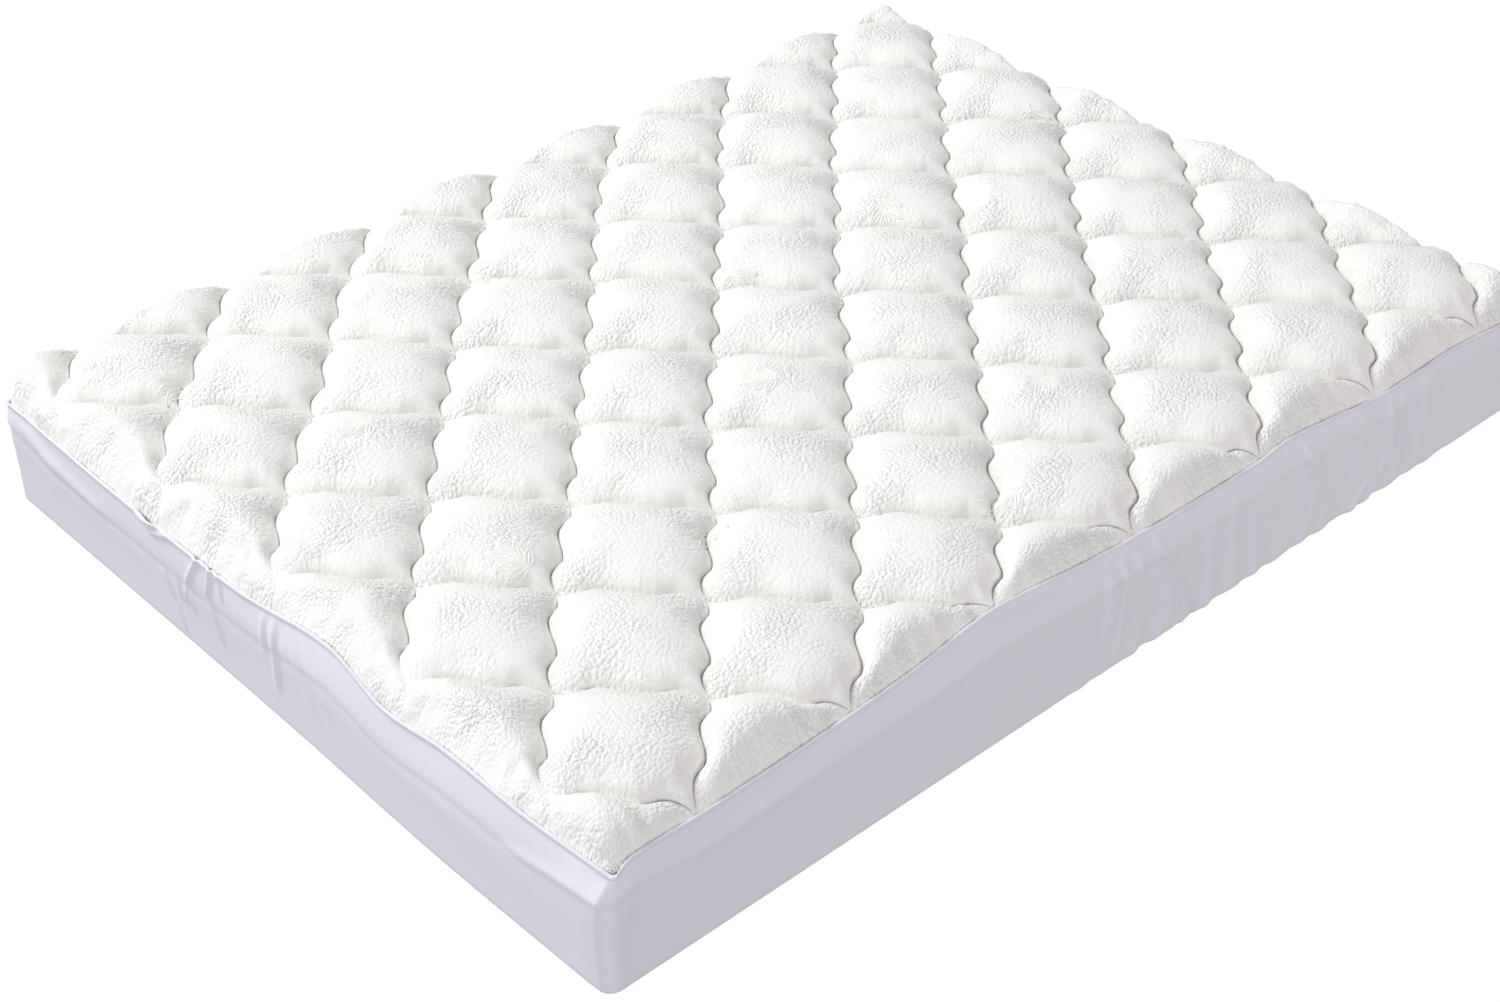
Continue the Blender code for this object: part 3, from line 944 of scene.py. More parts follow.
    def stitch_paths(self) -> list[Array]:
        """The stitch lines' places on the sewn face, each cut where it nears the edge.

        Returns:
            For each line, one row of three coordinates for each point.
        """
        ends = self.ends()
        fine = self.steps * 4
        paths = []
        for line in self.lines:
            t = np.arange(self.lines.start * fine, self.lines.stop * fine) / fine
            fixed = np.full_like(t, float(line))
            for u, v in ((fixed, t), (t, fixed)):
                i, j = u - v, u + v
                inside = (i > ends[Edge.LEFT]) & (i < ends[Edge.RIGHT])
                inside &= (j > ends[Edge.FRONT]) & (j < ends[Edge.BACK])
                x, y = self.snapped(i, j, ends)
                away = self.distances(x, y)
                for side, room in zip(self.outline.sides, away):
                    inside &= room > max(self.seam_clear, self.fade_clear * side.fade)
                if inside.sum() > 4:
                    places = self.sewn(x, y, np.zeros_like(x))[inside]
                    places[:, 2] -= self.thread_sunk
                    paths.append(places)
        return paths


# The skirt


class Fold(NamedTuple):
    """A crease in the skirt, between two places on one side: where it starts and ends,
    as X or Y and height, its half width, how far it stands out, and how deep the
    hollow beside it is as a share of that."""

    edge: Edge
    from_along: float
    from_height: float
    to_along: float
    to_height: float
    half_width: float
    depth: float
    hollow: float = 0.5


class Gather(NamedTuple):
    """Upright folds on one side: the middle and half width, the pitch, the depth, and
    how far they lean for each metre up."""

    edge: Edge
    middle: float
    reach: float
    pitch: float
    depth: float
    slant: float


class Closer(NamedTuple):
    """A stretch of one side whose columns of points stand closer together."""

    edge: Edge
    low: float
    high: float
    pitch: float


class Bump(NamedTuple):
    """A smooth bump: where its middle is, its half width and its height."""

    middle: float
    reach: float
    height: float = 1.0

    def at(self, places: Array) -> Array:
        """How high it stands at some places."""
        return self.height * np.exp(-(((places - self.middle) / self.reach) ** 2))


FOLDS = (
    Fold(Edge.LEFT, 0.170, 0.205, 0.216, 0.125, 0.0044, 0.0047, 0.35),
    Fold(Edge.LEFT, 0.216, 0.125, 0.226, 0.085, 0.0040, 0.0034, 0.35),
    Fold(Edge.LEFT, 0.137, 0.205, 0.151, 0.135, 0.0040, 0.0053, 0.35),
    Fold(Edge.LEFT, 0.151, 0.140, 0.124, 0.060, 0.0048, 0.0043, 0.35),
    Fold(Edge.LEFT, 0.286, 0.125, 0.261, 0.069, 0.0048, 0.0037, 0.35),
    Fold(Edge.LEFT, 0.261, 0.074, 0.240, 0.025, 0.0048, 0.0031, 0.35),
    Fold(Edge.LEFT, 0.120, 0.200, 0.108, 0.155, 0.0036, 0.0040, 0.35),
    Fold(Edge.LEFT, 0.245, 0.128, 0.236, 0.085, 0.0036, 0.0031, 0.35),
    Fold(Edge.LEFT, 0.212, 0.118, 0.200, 0.080, 0.0036, 0.0031, 0.35),
    Fold(Edge.LEFT, 0.000, 0.195, 0.000, 0.120, 0.0056, 0.0034, 0.35),
    Fold(Edge.LEFT, -0.030, 0.205, -0.022, 0.060, 0.0072, 0.0037, 0.35),
    Fold(Edge.LEFT, -0.062, 0.210, -0.131, 0.078, 0.0100, 0.0024),
    Fold(Edge.LEFT, -0.085, 0.205, -0.170, 0.100, 0.0110, 0.0018),
    Fold(Edge.LEFT, 0.352, 0.188, 0.292, 0.196, 0.0040, 0.0047, 0.35),
    Fold(Edge.LEFT, 0.315, 0.176, 0.258, 0.190, 0.0044, 0.0047, 0.35),
    Fold(Edge.LEFT, 0.640, 0.150, 0.440, 0.131, 0.0120, 0.0022),
    Fold(Edge.LEFT, 0.720, 0.180, 0.600, 0.140, 0.0120, 0.0026),
    Fold(Edge.LEFT, -0.560, 0.136, -0.742, 0.166, 0.0110, 0.0020),
    Fold(Edge.LEFT, -0.420, 0.170, -0.400, -0.080, 0.2600, 0.0060, 0.0),
    Fold(Edge.FRONT, 0.052, 0.200, 0.089, 0.119, 0.0056, 0.0056, 0.35),
    Fold(Edge.FRONT, 0.089, 0.125, 0.126, 0.000, 0.0052, 0.0053, 0.35),
    Fold(Edge.FRONT, 0.075, 0.180, 0.128, 0.072, 0.0056, 0.0040, 0.35),
    Fold(Edge.FRONT, 0.128, 0.080, 0.162, 0.000, 0.0052, 0.0040, 0.35),
    Fold(Edge.FRONT, -0.049, 0.200, -0.057, 0.070, 0.0072, 0.0037, 0.35),
    Fold(Edge.FRONT, -0.018, 0.205, -0.031, 0.010, 0.0064, 0.0043, 0.35),
    Fold(Edge.FRONT, 0.010, 0.205, 0.023, 0.030, 0.0072, 0.0037, 0.35),
    Fold(Edge.FRONT, 0.182, 0.195, 0.186, 0.005, 0.0150, 0.0022),
    Fold(Edge.FRONT, 0.226, 0.180, 0.257, 0.020, 0.0140, 0.0022),
    Fold(Edge.FRONT, 0.274, 0.180, 0.296, 0.010, 0.0130, 0.0020),
    Fold(Edge.FRONT, 0.401, 0.205, 0.437, 0.113, 0.0060, 0.0047, 0.35),
    Fold(Edge.FRONT, 0.437, 0.118, 0.437, 0.045, 0.0060, 0.0040, 0.35),
    Fold(Edge.FRONT, 0.622, 0.185, 0.624, 0.068, 0.0056, 0.0050, 0.35),
    Fold(Edge.FRONT, 0.624, 0.075, 0.590, 0.012, 0.0052, 0.0053, 0.35),
    Fold(Edge.FRONT, 0.585, 0.060, 0.536, 0.000, 0.0052, 0.0050, 0.35),
    Fold(Edge.FRONT, 0.652, 0.175, 0.663, 0.030, 0.0064, 0.0040, 0.35),
    Fold(Edge.FRONT, 0.712, 0.185, 0.724, 0.010, 0.0120, 0.0024),
    Fold(Edge.FRONT, -0.972, 0.175, -0.968, 0.120, 0.0064, 0.0034, 0.35),
    Fold(Edge.FRONT, -0.600, 0.168, -0.900, 0.158, 0.0120, 0.0018),
)
GATHERS = (
    Gather(Edge.FRONT, 0.160, 0.300, 0.110, 0.0016, 0.10),
    Gather(Edge.FRONT, 0.640, 0.260, 0.090, 0.0018, 0.16),
    Gather(Edge.BACK, -0.300, 0.450, 0.130, 0.0018, 0.10),
)
CLOSER = (
    Closer(Edge.LEFT, -0.170, 0.360, 0.0034),
    Closer(Edge.LEFT, -0.760, -0.560, 0.0050),
    Closer(Edge.FRONT, -1.000, -0.900, 0.0050),
    Closer(Edge.FRONT, -0.080, 0.300, 0.0042),
    Closer(Edge.FRONT, 0.390, 0.450, 0.0042),
    Closer(Edge.FRONT, 0.510, 0.740, 0.0042),
)


@dataclass
class Skirt:
    """The stretch skirt: a sheet from the seam, over the mattress and under it."""

    outline: Outline
    wall: float = 0.002
    side_inset: float = 0.0026
    corner: float = 0.026
    corner_band: float = 0.030
    bottom_round: float = 0.014
    hem_inset: float = 0.088
    lip: float = 0.0030
    near_pitch: float = 0.009
    far_pitch: float = 0.016
    corner_columns: int = 12
    rows_lip: int = 6
    rows_band: int = 13
    rows_wall: int = 22
    rows_round: int = 5
    rows_under: int = 5
    lip_inward: float = 0.2
    band_bow: float = 0.0014
    band_slope: float = 1.25
    wall_bow: float = 0.0009
    wall_ridge: Bump = Bump(0.08, 0.07, 0.0012)
    round_tighter: float = 0.010
    hem_tighter: float = 0.012
    corner_ease: float = 0.150
    mean_seam: float = 0.205
    crease_start: tuple[float, float] = (-0.08, 0.25)
    crease_end: tuple[float, float] = (0.75, 1.08)
    crease_hollow: Bump = Bump(1.7, 1.1)
    side_end: float = 0.025
    hem_wave: float = 0.0032
    hem_pitch: float = 0.058
    hem_wave_start: tuple[float, float] = (-0.22, 0.02)
    hem_wave_end: tuple[float, float] = (0.60, 0.86)
    hem_wave_top: tuple[float, float] = (0.010, 0.060)
    pleat_level: Bump = Bump(0.160, 0.020)
    pleat_ridge: Bump = Bump(0.30, 0.10, 0.0024)
    pleat_hollow: Bump = Bump(0.62, 0.16, 0.0030)

    def stations(self, inset: Array, height: Array, band: Array) -> tuple[Array, ...]:
        """The sheet's outer face from the seam to the hem, for each column.

        Args:
            inset: The seam's inset in each column.
            height: The seam's height in each column.
            band: How far the sloping band reaches down in each column.

        Returns:
            Insets, heights and corner radii, one row for each station.
        """
        rows = []
        low, corner = self.bottom_round, self.corner
        step = height - band
        seam_corner = self.outline.seam_corner
        for k in range(self.rows_lip):
            turn = math.pi * k / (self.rows_lip - 1)
            across = self.lip * (math.cos(turn) - self.lip_inward)
            rows.append((inset + across, height + self.lip * math.sin(turn), seam_corner))
        for k in range(1, self.rows_band + 1):
            t = k / self.rows_band
            bow = self.side_inset - self.band_bow * math.sin(math.pi * t)
            at = bow + (inset - bow) * (1 - t) ** self.band_slope
            widened = 1 - (1 - t) ** 2
            rows.append((at, height - band * t, seam_corner + (corner - seam_corner) * widened))
        for k in range(1, self.rows_wall + 1):
            t = k / self.rows_wall
            drawn = self.wall_bow * math.sin(math.pi * t) + self.wall_ridge.at(t)
            rows.append((self.side_inset + drawn, step + (low - step) * t, corner))
        for k in range(1, self.rows_round + 1):
            t = k / self.rows_round
            turn = math.pi / 2 * t
            at = self.side_inset + low * (1 - math.cos(turn))
            rows.append((at, low * (1 - math.sin(turn)), corner - self.round_tighter * t))
        start, corner = self.side_inset + low, corner - self.round_tighter
        for k in range(1, self.rows_under + 1):
            t = k / self.rows_under
            at = start + (self.hem_inset - start) * t
            rows.append((at, 0.0, corner - self.hem_tighter * t))
        return tuple(
            np.array([value + 0 * height for value in column]) for column in zip(*rows)
        )

    def shares(self, side: Side) -> list[float]:
        """Where a side's columns stand, from -1 to 1, closer together at its creases.

        Args:
            side: The side.

        Returns:
            Shares of its half length.
        """
        closer = [row for row in CLOSER if row.edge is side.edge]
        plain = self.near_pitch if side.edge in (Edge.FRONT, Edge.LEFT) else self.far_pitch
        places = [-side.half_along]
        while places[-1] < side.half_along:
            at = places[-1] * side.sense
            pitches = [row.pitch for row in closer if row.low < at < row.high]
            places.append(places[-1] + min([plain, *pitches]))
        whole = places[-1] - places[0]
        return [2 * (place - places[0]) / whole - 1 for place in places[1:-1]]

    def columns(self) -> tuple[Array, Array, Array]:
        """The sheet's columns: side number, share along it, and turn in a corner.

        Returns:
            The side numbers, the shares from -1 to 1, and the turns, or -1 off a corner.
        """
        numbers, shares, turns = [], [], []
        for number, side in enumerate(self.outline.sides):
            straight = self.shares(side)
            bent = [k / self.corner_columns for k in range(self.corner_columns + 1)]
            numbers += [number] * (len(straight) + len(bent))
            shares += straight + [1.0] * len(bent)
            turns += [-1.0] * len(straight) + bent
        return np.array(numbers), np.array(shares), np.array(turns)

    def stand_out(self, edge: Edge, along: Array, height: Array) -> Array:
        """How far folds and gathers push the cloth out at places on one side.

        Args:
            edge: The side.
            along: Places along it, as X or Y.
            height: Heights.

        Returns:
            Distances outward.
        """
        out = np.zeros_like(along)
        for fold in (f for f in FOLDS if f.edge is edge):
            run = fold.to_along - fold.from_along
            drop = fold.to_height - fold.from_height
            length = math.hypot(run, drop)
            a, h = along - fold.from_along, height - fold.from_height
            t = (a * run + h * drop) / length**2
            away = (a * drop - h * run) / length / fold.half_width
            fade = soft_ramp(t, *self.crease_start) * (1 - soft_ramp(t, *self.crease_end))
            ridge = np.exp(-(away**2)) - fold.hollow * self.crease_hollow.at(away)
            out += fold.depth * fade * ridge
        for row in (g for g in GATHERS if g.edge is edge):
            at = along + row.slant * height
            fade = np.clip(1 - ((at - row.middle) / row.reach) ** 2, 0, 1)
            out += row.depth * fade * ripple(at, row.pitch, row.middle * 9)
        if edge is Edge.FRONT:
            reach = soft_ramp(along, *self.hem_wave_start)
            reach *= 1 - soft_ramp(along, *self.hem_wave_end)
            low = 1 - soft_ramp(height, *self.hem_wave_top)
            out += self.hem_wave * reach * low * ripple(along, self.hem_pitch, 0.7)
        return out

    def corner_pleat(self, turn: Array, height: Array) -> Array:
        """The small pleat and hollow under the seam's tip at the near corner."""
        across = self.pleat_ridge.at(turn) - self.pleat_hollow.at(turn)
        return self.pleat_level.at(height) * across

    def build(self) -> bpy.types.Object:
        """Makes the sheet's outer face, then gives it its thickness inward.

        Returns:
            The skirt.
        """
        numbers, shares, turns = self.columns()
        count = len(numbers)
        inset, height, band = np.zeros(count), np.zeros(count), np.zeros(count)
        for number, side in enumerate(self.outline.sides):
            last = self.outline.corner_rows(number)[0]
            mine = numbers == number
            on_side = mine & (turns < 0)
            low, high = self.outline.seam_ends(number)
            seam_end = np.where(shares * side.sense > 0, high, -low)
            place = shares * side.sense * seam_end
            inset[on_side], height[on_side] = side.seam(place[on_side])
            room = np.clip((side.half_along - np.abs(place)) / self.corner_ease, 0, 1)
            band[mine] = self.corner_band + (side.band - self.corner_band) * room[mine]
            bend = mine & (turns >= 0)
            inset[bend] = last.inset
            height[bend] = last.height
            band[bend] = self.corner_band
        rows = self.stations(inset, height, band)
        return self.skin(self.place_columns(rows, numbers, shares, turns))

    def place_columns(
        self, rows: tuple[Array, ...], numbers: Array, shares: Array, turns: Array
    ) -> Array:
        """Turns stations into points, one grid of rows by columns.

        Args:
            rows: Insets, heights and corner radii, by station and column.
            numbers: Each column's side.
            shares: Each column's share along its side.
            turns: Each column's turn in a corner.

        Returns:
            Points by station, column and coordinate.
        """
        insets, heights = rows[:2]
        made = np.zeros((*insets.shape, 3))
        above = np.arange(len(insets))[:, None] < len(insets) - self.rows_under
        for number, side in enumerate(self.outline.sides):
            following = self.outline.sides[(number + 1) % 4]
            start = self.corner_stations((number - 1) % 4)[0]
            end = self.corner_stations(number)
            mine = (numbers == number) & (turns < 0)
            share = shares[mine]
            run_after = side.half_along - end[1] - end[2]
            run_before = side.half_along - start - end[2]
            run = np.where(share[None, :] > 0, run_after[:, None], run_before[:, None])
            along = share[None, :] * run
            push = self.stand_out(side.edge, along * side.sense, heights[:, mine])
            push *= soft_ramp(1 - np.abs(share), 0.0, self.side_end)[None, :] * above
            reach = side.half_out - insets[:, mine] + push
            for axis in (0, 1):
                made[:, mine, axis] = side.out[axis] * reach + side.forward[axis] * along
            bend = (numbers == number) & (turns >= 0)
            corner = end[2][:, None]
            push = np.zeros((len(insets), bend.sum()))
            if side.edge is Edge.LEFT:
                push = self.corner_pleat(turns[bend][None, :], heights[:, bend])
            turn = turns[bend][None, :] * math.pi / 2
            across = (side.half_along - end[1] - end[2])[:, None]
            reach = side.half_out - end[0][:, None] - corner
            for axis in (0, 1):
                made[:, bend, axis] = (
                    side.out[axis] * (reach + (corner + push) * np.cos(turn))
                    + side.forward[axis] * across
                    + following.out[axis] * (corner + push) * np.sin(turn)
                )
        made[:, :, 2] = heights
        return made

    def corner_stations(self, number: int) -> tuple[Array, Array, Array]:
        """Insets on a side and on the next, and radii, of the stations at their corner.

        Args:
            number: The side's number.

        Returns:
            The insets on the side, those on the next, and the radii.
        """
        last, first = self.outline.corner_rows(number)
        band = np.array([self.corner_band])
        here, after = (
            self.stations(np.array([row.inset]), np.array([row.height]), band)
            for row in (last, first)
        )
        return here[0][:, 0], after[0][:, 0], here[2][:, 0]

    def skin(self, places: Array) -> bpy.types.Object:
        """Joins the grid of points into a sheet, and thickens it inward.

        Args:
            places: Points by station, column and coordinate.

        Returns:
            The skirt.
        """
        count_rows, count = places.shape[:2]
        faces = []
        for r in range(count_rows - 1):
            for c in range(count):
                a, b = r * count + c, r * count + (c + 1) % count
                faces.append((a + count, b + count, b, a))
        piece = new_piece("skirt_sheet", places.reshape(-1, 3), faces)
        step_down = np.linalg.norm(np.diff(places, axis=0), axis=2)
        down = np.vstack((np.zeros(count), np.cumsum(step_down, axis=0)))
        wall_row = places[self.rows_lip + self.rows_band]
        step = np.linalg.norm(np.diff(wall_row, axis=0, append=wall_row[:1]), axis=1)
        around = np.cumsum(step) - step
        flat = np.stack((np.broadcast_to(around, down.shape), down), axis=2)
        write_uv(piece.data, "cloth", flat.reshape(-1, 2))
        thick = piece.modifiers.new("thickness", "SOLIDIFY")
        thick.thickness = self.wall
        thick.offset = -1
        thick.use_rim = True
        bake_modifiers(piece)
        log.info("skirt: %d faces", len(piece.data.polygons))
        return piece


# The mattress


class Ring(NamedTuple):
    """A level of the block: how far in it lies, how high, and its corners' radius."""

    inset: float
    height: float
    corner: float


@dataclass
class Mattress:
    """The plain block inside, of which only the underside shows."""

    outline: Outline
    inset: float = 0.009
    top: float = 0.180
    shoulder: float = 0.040
    corner: float = 0.022
    over_hem: float = 0.0046
    core_inset: float = 0.106
    core_corner: float = 0.020
    core_sag: float = 0.0006
    core_steps: tuple[float, float, float] = (0.300, 0.012, 0.010)
    middle_corner: float = 0.004
    foot: tuple[Ring, ...] = (Ring(0.030, 0.0, 0.0), Ring(0.008, 0.010, 0.0), Ring(0.0, 0.030, 0.0))
    shoulder_steps: int = 4
    corner_steps: int = 6
    column_pitch: float = 0.040

    def build(self) -> bpy.types.Object:
        """Makes the block from rings, with a raised rim where the hem passes under it.

        Returns:
            The mattress.
        """
        edge, top, r, low = self.inset, self.top, self.shoulder, self.over_hem
        core, core_corner = self.core_inset, self.core_corner
        middle, flat, slope = self.core_steps
        stations = [
            Ring(core + middle, 0.0, self.middle_corner),
            Ring(core + flat, 0.0, core_corner),
            Ring(core, self.core_sag, core_corner),
            Ring(core - slope, low, core_corner),
        ]
        stations += [Ring(edge + foot.inset, low + foot.height, self.corner) for foot in self.foot]
        for k in range(self.shoulder_steps + 1):
            turn = math.pi / 2 * k / self.shoulder_steps
            inset = edge + r * (1 - math.cos(turn))
            stations.append(Ring(inset, top - r * (1 - math.sin(turn)), self.corner))
        rings = [self.ring(*station) for station in stations]
        count = len(rings[0])
        points = [point for ring in rings for point in ring]
        faces = []
        for r_number in range(len(rings) - 1):
            for c in range(count):
                d = (c + 1) % count
                a, b = r_number * count, (r_number + 1) * count
                faces.append((a + c, a + d, b + d, b + c))
        points += [(0.0, 0.0, 0.0), (0.0, 0.0, top)]
        last = (len(rings) - 1) * count
        for c in range(count):
            d = (c + 1) % count
            faces.append((d, c, len(points) - 2))
            faces.append((last + c, last + d, len(points) - 1))
        return new_piece("mattress_block", np.array(points), faces)

    def ring(self, inset: float, height: float, corner: float) -> list:
        """A closed ring of points round the block, with rounded corners.

        Args:
            inset: How far in from the outline it lies.
            height: How high it lies.
            corner: Its corners' radius.

        Returns:
            Its points in order.
        """
        points = []
        for number, side in enumerate(self.outline.sides):
            following = self.outline.sides[(number + 1) % 4]
            half = side.half_along - inset - corner
            count = round(2 * side.half_along / self.column_pitch)
            reach = side.half_out - inset
            for k in range(1, count):
                along = half * (2 * k / count - 1)
                place = side.out * reach + side.forward * along
                points.append((place[0], place[1], height))
            for k in range(self.corner_steps + 1):
                turn = math.pi / 2 * k / self.corner_steps
                place = side.out * (reach - corner + corner * math.cos(turn))
                place = place + side.forward * half + following.out * corner * math.sin(turn)
                points.append((place[0], place[1], height))
        return points


# Stitches


@dataclass
class Stitching:
    """The lockstitches along the quilting, each a short raised bead of thread."""

    paths: list[Array]
    pitch: float = 0.0065
    bead_length: float = 0.0048
    thread: float = 0.0009

    def build(self, material: bpy.types.Material) -> bpy.types.Object:
        """Sets beads along the stitch lines with Geometry Nodes, then bakes them.

        Args:
            material: The thread's finish.

        Returns:
            The stitches, as one mesh.
        """
        piece = lines_piece("quilting_stitches", self.paths)
        sizes = {
            "Pitch": self.pitch,
            "Bead length": self.bead_length,
            "Thread": self.thread,
        }
        run_tree(piece, self.tree(material, sizes), sizes)
        return piece

    def tree(self, material: bpy.types.Material, sizes: dict[str, float]) -> bpy.types.NodeTree:
        """The node tree that puts a bead of thread at each stitch.

        Args:
            material: The thread's finish.
            sizes: The sizes that the tree takes, by name.

        Returns:
            The tree.
        """
        tree, source = start_tree("stitches_along_lines", sizes)
        curve = add_node(tree, "GeometryNodeMeshToCurve", {"Mesh": source.outputs[0]})
        even = add_node(
            tree,
            "GeometryNodeResampleCurve",
            {"Curve": curve.outputs[0], "Length": source.outputs["Pitch"]},
            mode="LENGTH",
        )
        bead = add_node(
            tree,
            "GeometryNodeMeshUVSphere",
            {"Segments": 5, "Rings": 3, "Radius": 0.5},
        )
        size = add_node(
            tree,
            "ShaderNodeCombineXYZ",
            {
                "X": source.outputs["Thread"],
                "Y": source.outputs["Thread"],
                "Z": source.outputs["Bead length"],
            },
        )
        tangent = add_node(tree, "GeometryNodeInputTangent")
        turned = add_node(
            tree,
            "FunctionNodeAlignRotationToVector",
            {"Vector": tangent.outputs[0]},
            axis="Z",
        )
        placed = add_node(
            tree,
            "GeometryNodeInstanceOnPoints",
            {
                "Points": even.outputs[0],
                "Instance": bead.outputs[0],
                "Rotation": turned.outputs[0],
                "Scale": size.outputs[0],
            },
        )
        end_tree(tree, placed.outputs[0], material)
        return tree


# Leaf sprigs


class SprigRow(NamedTuple):
    """An embossed sprig: where it lies, which way it grows in degrees, and its leaves."""

    x: float
    y: float
    heading: float
    leaves: int


SPRIGS = (
    SprigRow(-0.420, -0.330, 200.0, 6),
    SprigRow(-0.130, -0.160, 140.0, 6),
    SprigRow(0.180, -0.420, 215.0, 7),
    SprigRow(-0.660, 0.180, 170.0, 6),
    SprigRow(-0.250, 0.420, 120.0, 6),
    SprigRow(0.400, 0.160, 230.0, 7),
    SprigRow(0.720, -0.280, 160.0, 6),
    SprigRow(0.060, 0.180, 250.0, 6),
    SprigRow(0.560, 0.520, 150.0, 6),
    SprigRow(-0.700, -0.260, 110.0, 6),
    SprigRow(-0.780, 0.540, 200.0, 6),
    SprigRow(0.860, 0.240, 240.0, 6),
    SprigRow(-0.060, -0.600, 165.0, 6),
)


@dataclass
class LeafSprigs:
    """The sprigs of slender leaves embossed on the face, as raised outlines."""

    face: bpy.types.Object
    leaf_length: float = 0.046
    leaf_half: float = 0.0062
    spread: float = 125.0
    stalk: float = 0.030
    cord: float = 0.0020
    sunk: float = 0.0006
    points: int = 9
    belly: float = 0.75
    rib: float = 0.8
    longest: float = 1.1
    outer_shorter: float = 0.35
    alternate: float = 0.08
    lower_feet: float = 0.5

    def leaf(self, heading: float, length: float) -> list[Array]:
        """A leaf's outline and its midrib, from its base at 0, 0.

        Args:
            heading: The way it grows, in radians.
            length: Its length.

        Returns:
            Two lines of flat points.
        """
        t = np.linspace(0, 1, self.points)
        half = self.leaf_half * np.sin(math.pi * t**self.belly)
        there = np.column_stack((t * length, half))
        back = np.column_stack((t * length, -half))[::-1]
        rib = np.column_stack((t * length * self.rib, 0 * t))
        cos, sin = math.cos(heading), math.sin(heading)
        turn = np.array(((cos, sin), (-sin, cos)))
        return [np.vstack((there, back)) @ turn, rib @ turn]

    def sprig(self, row: SprigRow) -> list[Array]:
        """A sprig's lines: a stalk with a fan of leaves at its end.

        Args:
            row: The sprig.

        Returns:
            Lines of flat points.
        """
        ahead = math.radians(row.heading)
        way = np.array((math.cos(ahead), math.sin(ahead)))
        foot = np.array((row.x, row.y))
        lines = [foot + np.linspace(0, self.stalk, self.points)[:, None] * way]
        for k in range(row.leaves):
            share = k / (row.leaves - 1) - 0.5
            heading = ahead + math.radians(self.spread * share)
            off = abs(2 * share)
            size = self.longest - self.outer_shorter * off + self.alternate * (k % 2)
            base = foot + way * self.stalk * (1 - self.lower_feet * off)
            lines += [base + line for line in self.leaf(heading, self.leaf_length * size)]
        return lines

    def build(self, material: bpy.types.Material) -> bpy.types.Object:
        """Lays the sprigs' lines on the face and gives them their thickness.

        Args:
            material: The outlines' finish.

        Returns:
            The sprigs, as one mesh.
        """
        graph = bpy.context.evaluated_depsgraph_get()
        cloth = BVHTree.FromObject(self.face, graph)
        lines = []
        for row in SPRIGS:
            for flat in self.sprig(row):
                line = []
                for x, y in flat:
                    hit = cloth.ray_cast(Vector((x, y, 1.0)), Vector((0, 0, -1)))
                    line.append(hit[0] - hit[1] * self.sunk)
                lines.append(line)
        piece = lines_piece("leaf_sprigs", lines)
        sizes = {"Cord": self.cord}
        run_tree(piece, self.tree(material, sizes), sizes)
        return piece

    def tree(self, material: bpy.types.Material, sizes: dict[str, float]) -> bpy.types.NodeTree:
        """The node tree that turns lines into raised cords.

        Args:
            material: The outlines' finish.
            sizes: The sizes that the tree takes, by name.

        Returns:
            The tree.
        """
        tree, source = start_tree("cords_along_lines", sizes)
        curve = add_node(tree, "GeometryNodeMeshToCurve", {"Mesh": source.outputs[0]})
        ring = add_node(
            tree,
            "GeometryNodeCurvePrimitiveCircle",
            {"Resolution": 6, "Radius": source.outputs["Cord"]},
        )
        cord = add_node(
            tree,
            "GeometryNodeCurveToMesh",
            {"Curve": curve.outputs[0], "Profile Curve": ring.outputs[0], "Fill Caps": True},
        )
        end_tree(tree, cord.outputs[0], material)
        return tree


# Finishes


@dataclass(frozen=True)
class Finish:
    """What every cloth here has: a colour, a roughness and a soft sheen."""

    name: str
    colour: str
    roughness: float
    sheen: float
    specular: float = 0.3

    def start(self) -> tuple[bpy.types.Material, bpy.types.NodeTree, bpy.types.Node]:
        """Makes the material with its plain shader values.

        Returns:
            The material, its node tree and its shader node.
        """
        material = bpy.data.materials.new(self.name)
        material.use_nodes = True
        tree = material.node_tree
        shader = tree.nodes["Principled BSDF"]
        shader.inputs["Base Color"].default_value = linear(self.colour)
        shader.inputs["Roughness"].default_value = self.roughness
        shader.inputs["Sheen Weight"].default_value = self.sheen
        shader.inputs["Sheen Roughness"].default_value = 0.5
        shader.inputs["Specular IOR Level"].default_value = self.specular
        return material, tree, shader

    def make(self) -> bpy.types.Material:
        """Builds the finish, plain where it has no method of its own for this."""
        return self.start()[0]


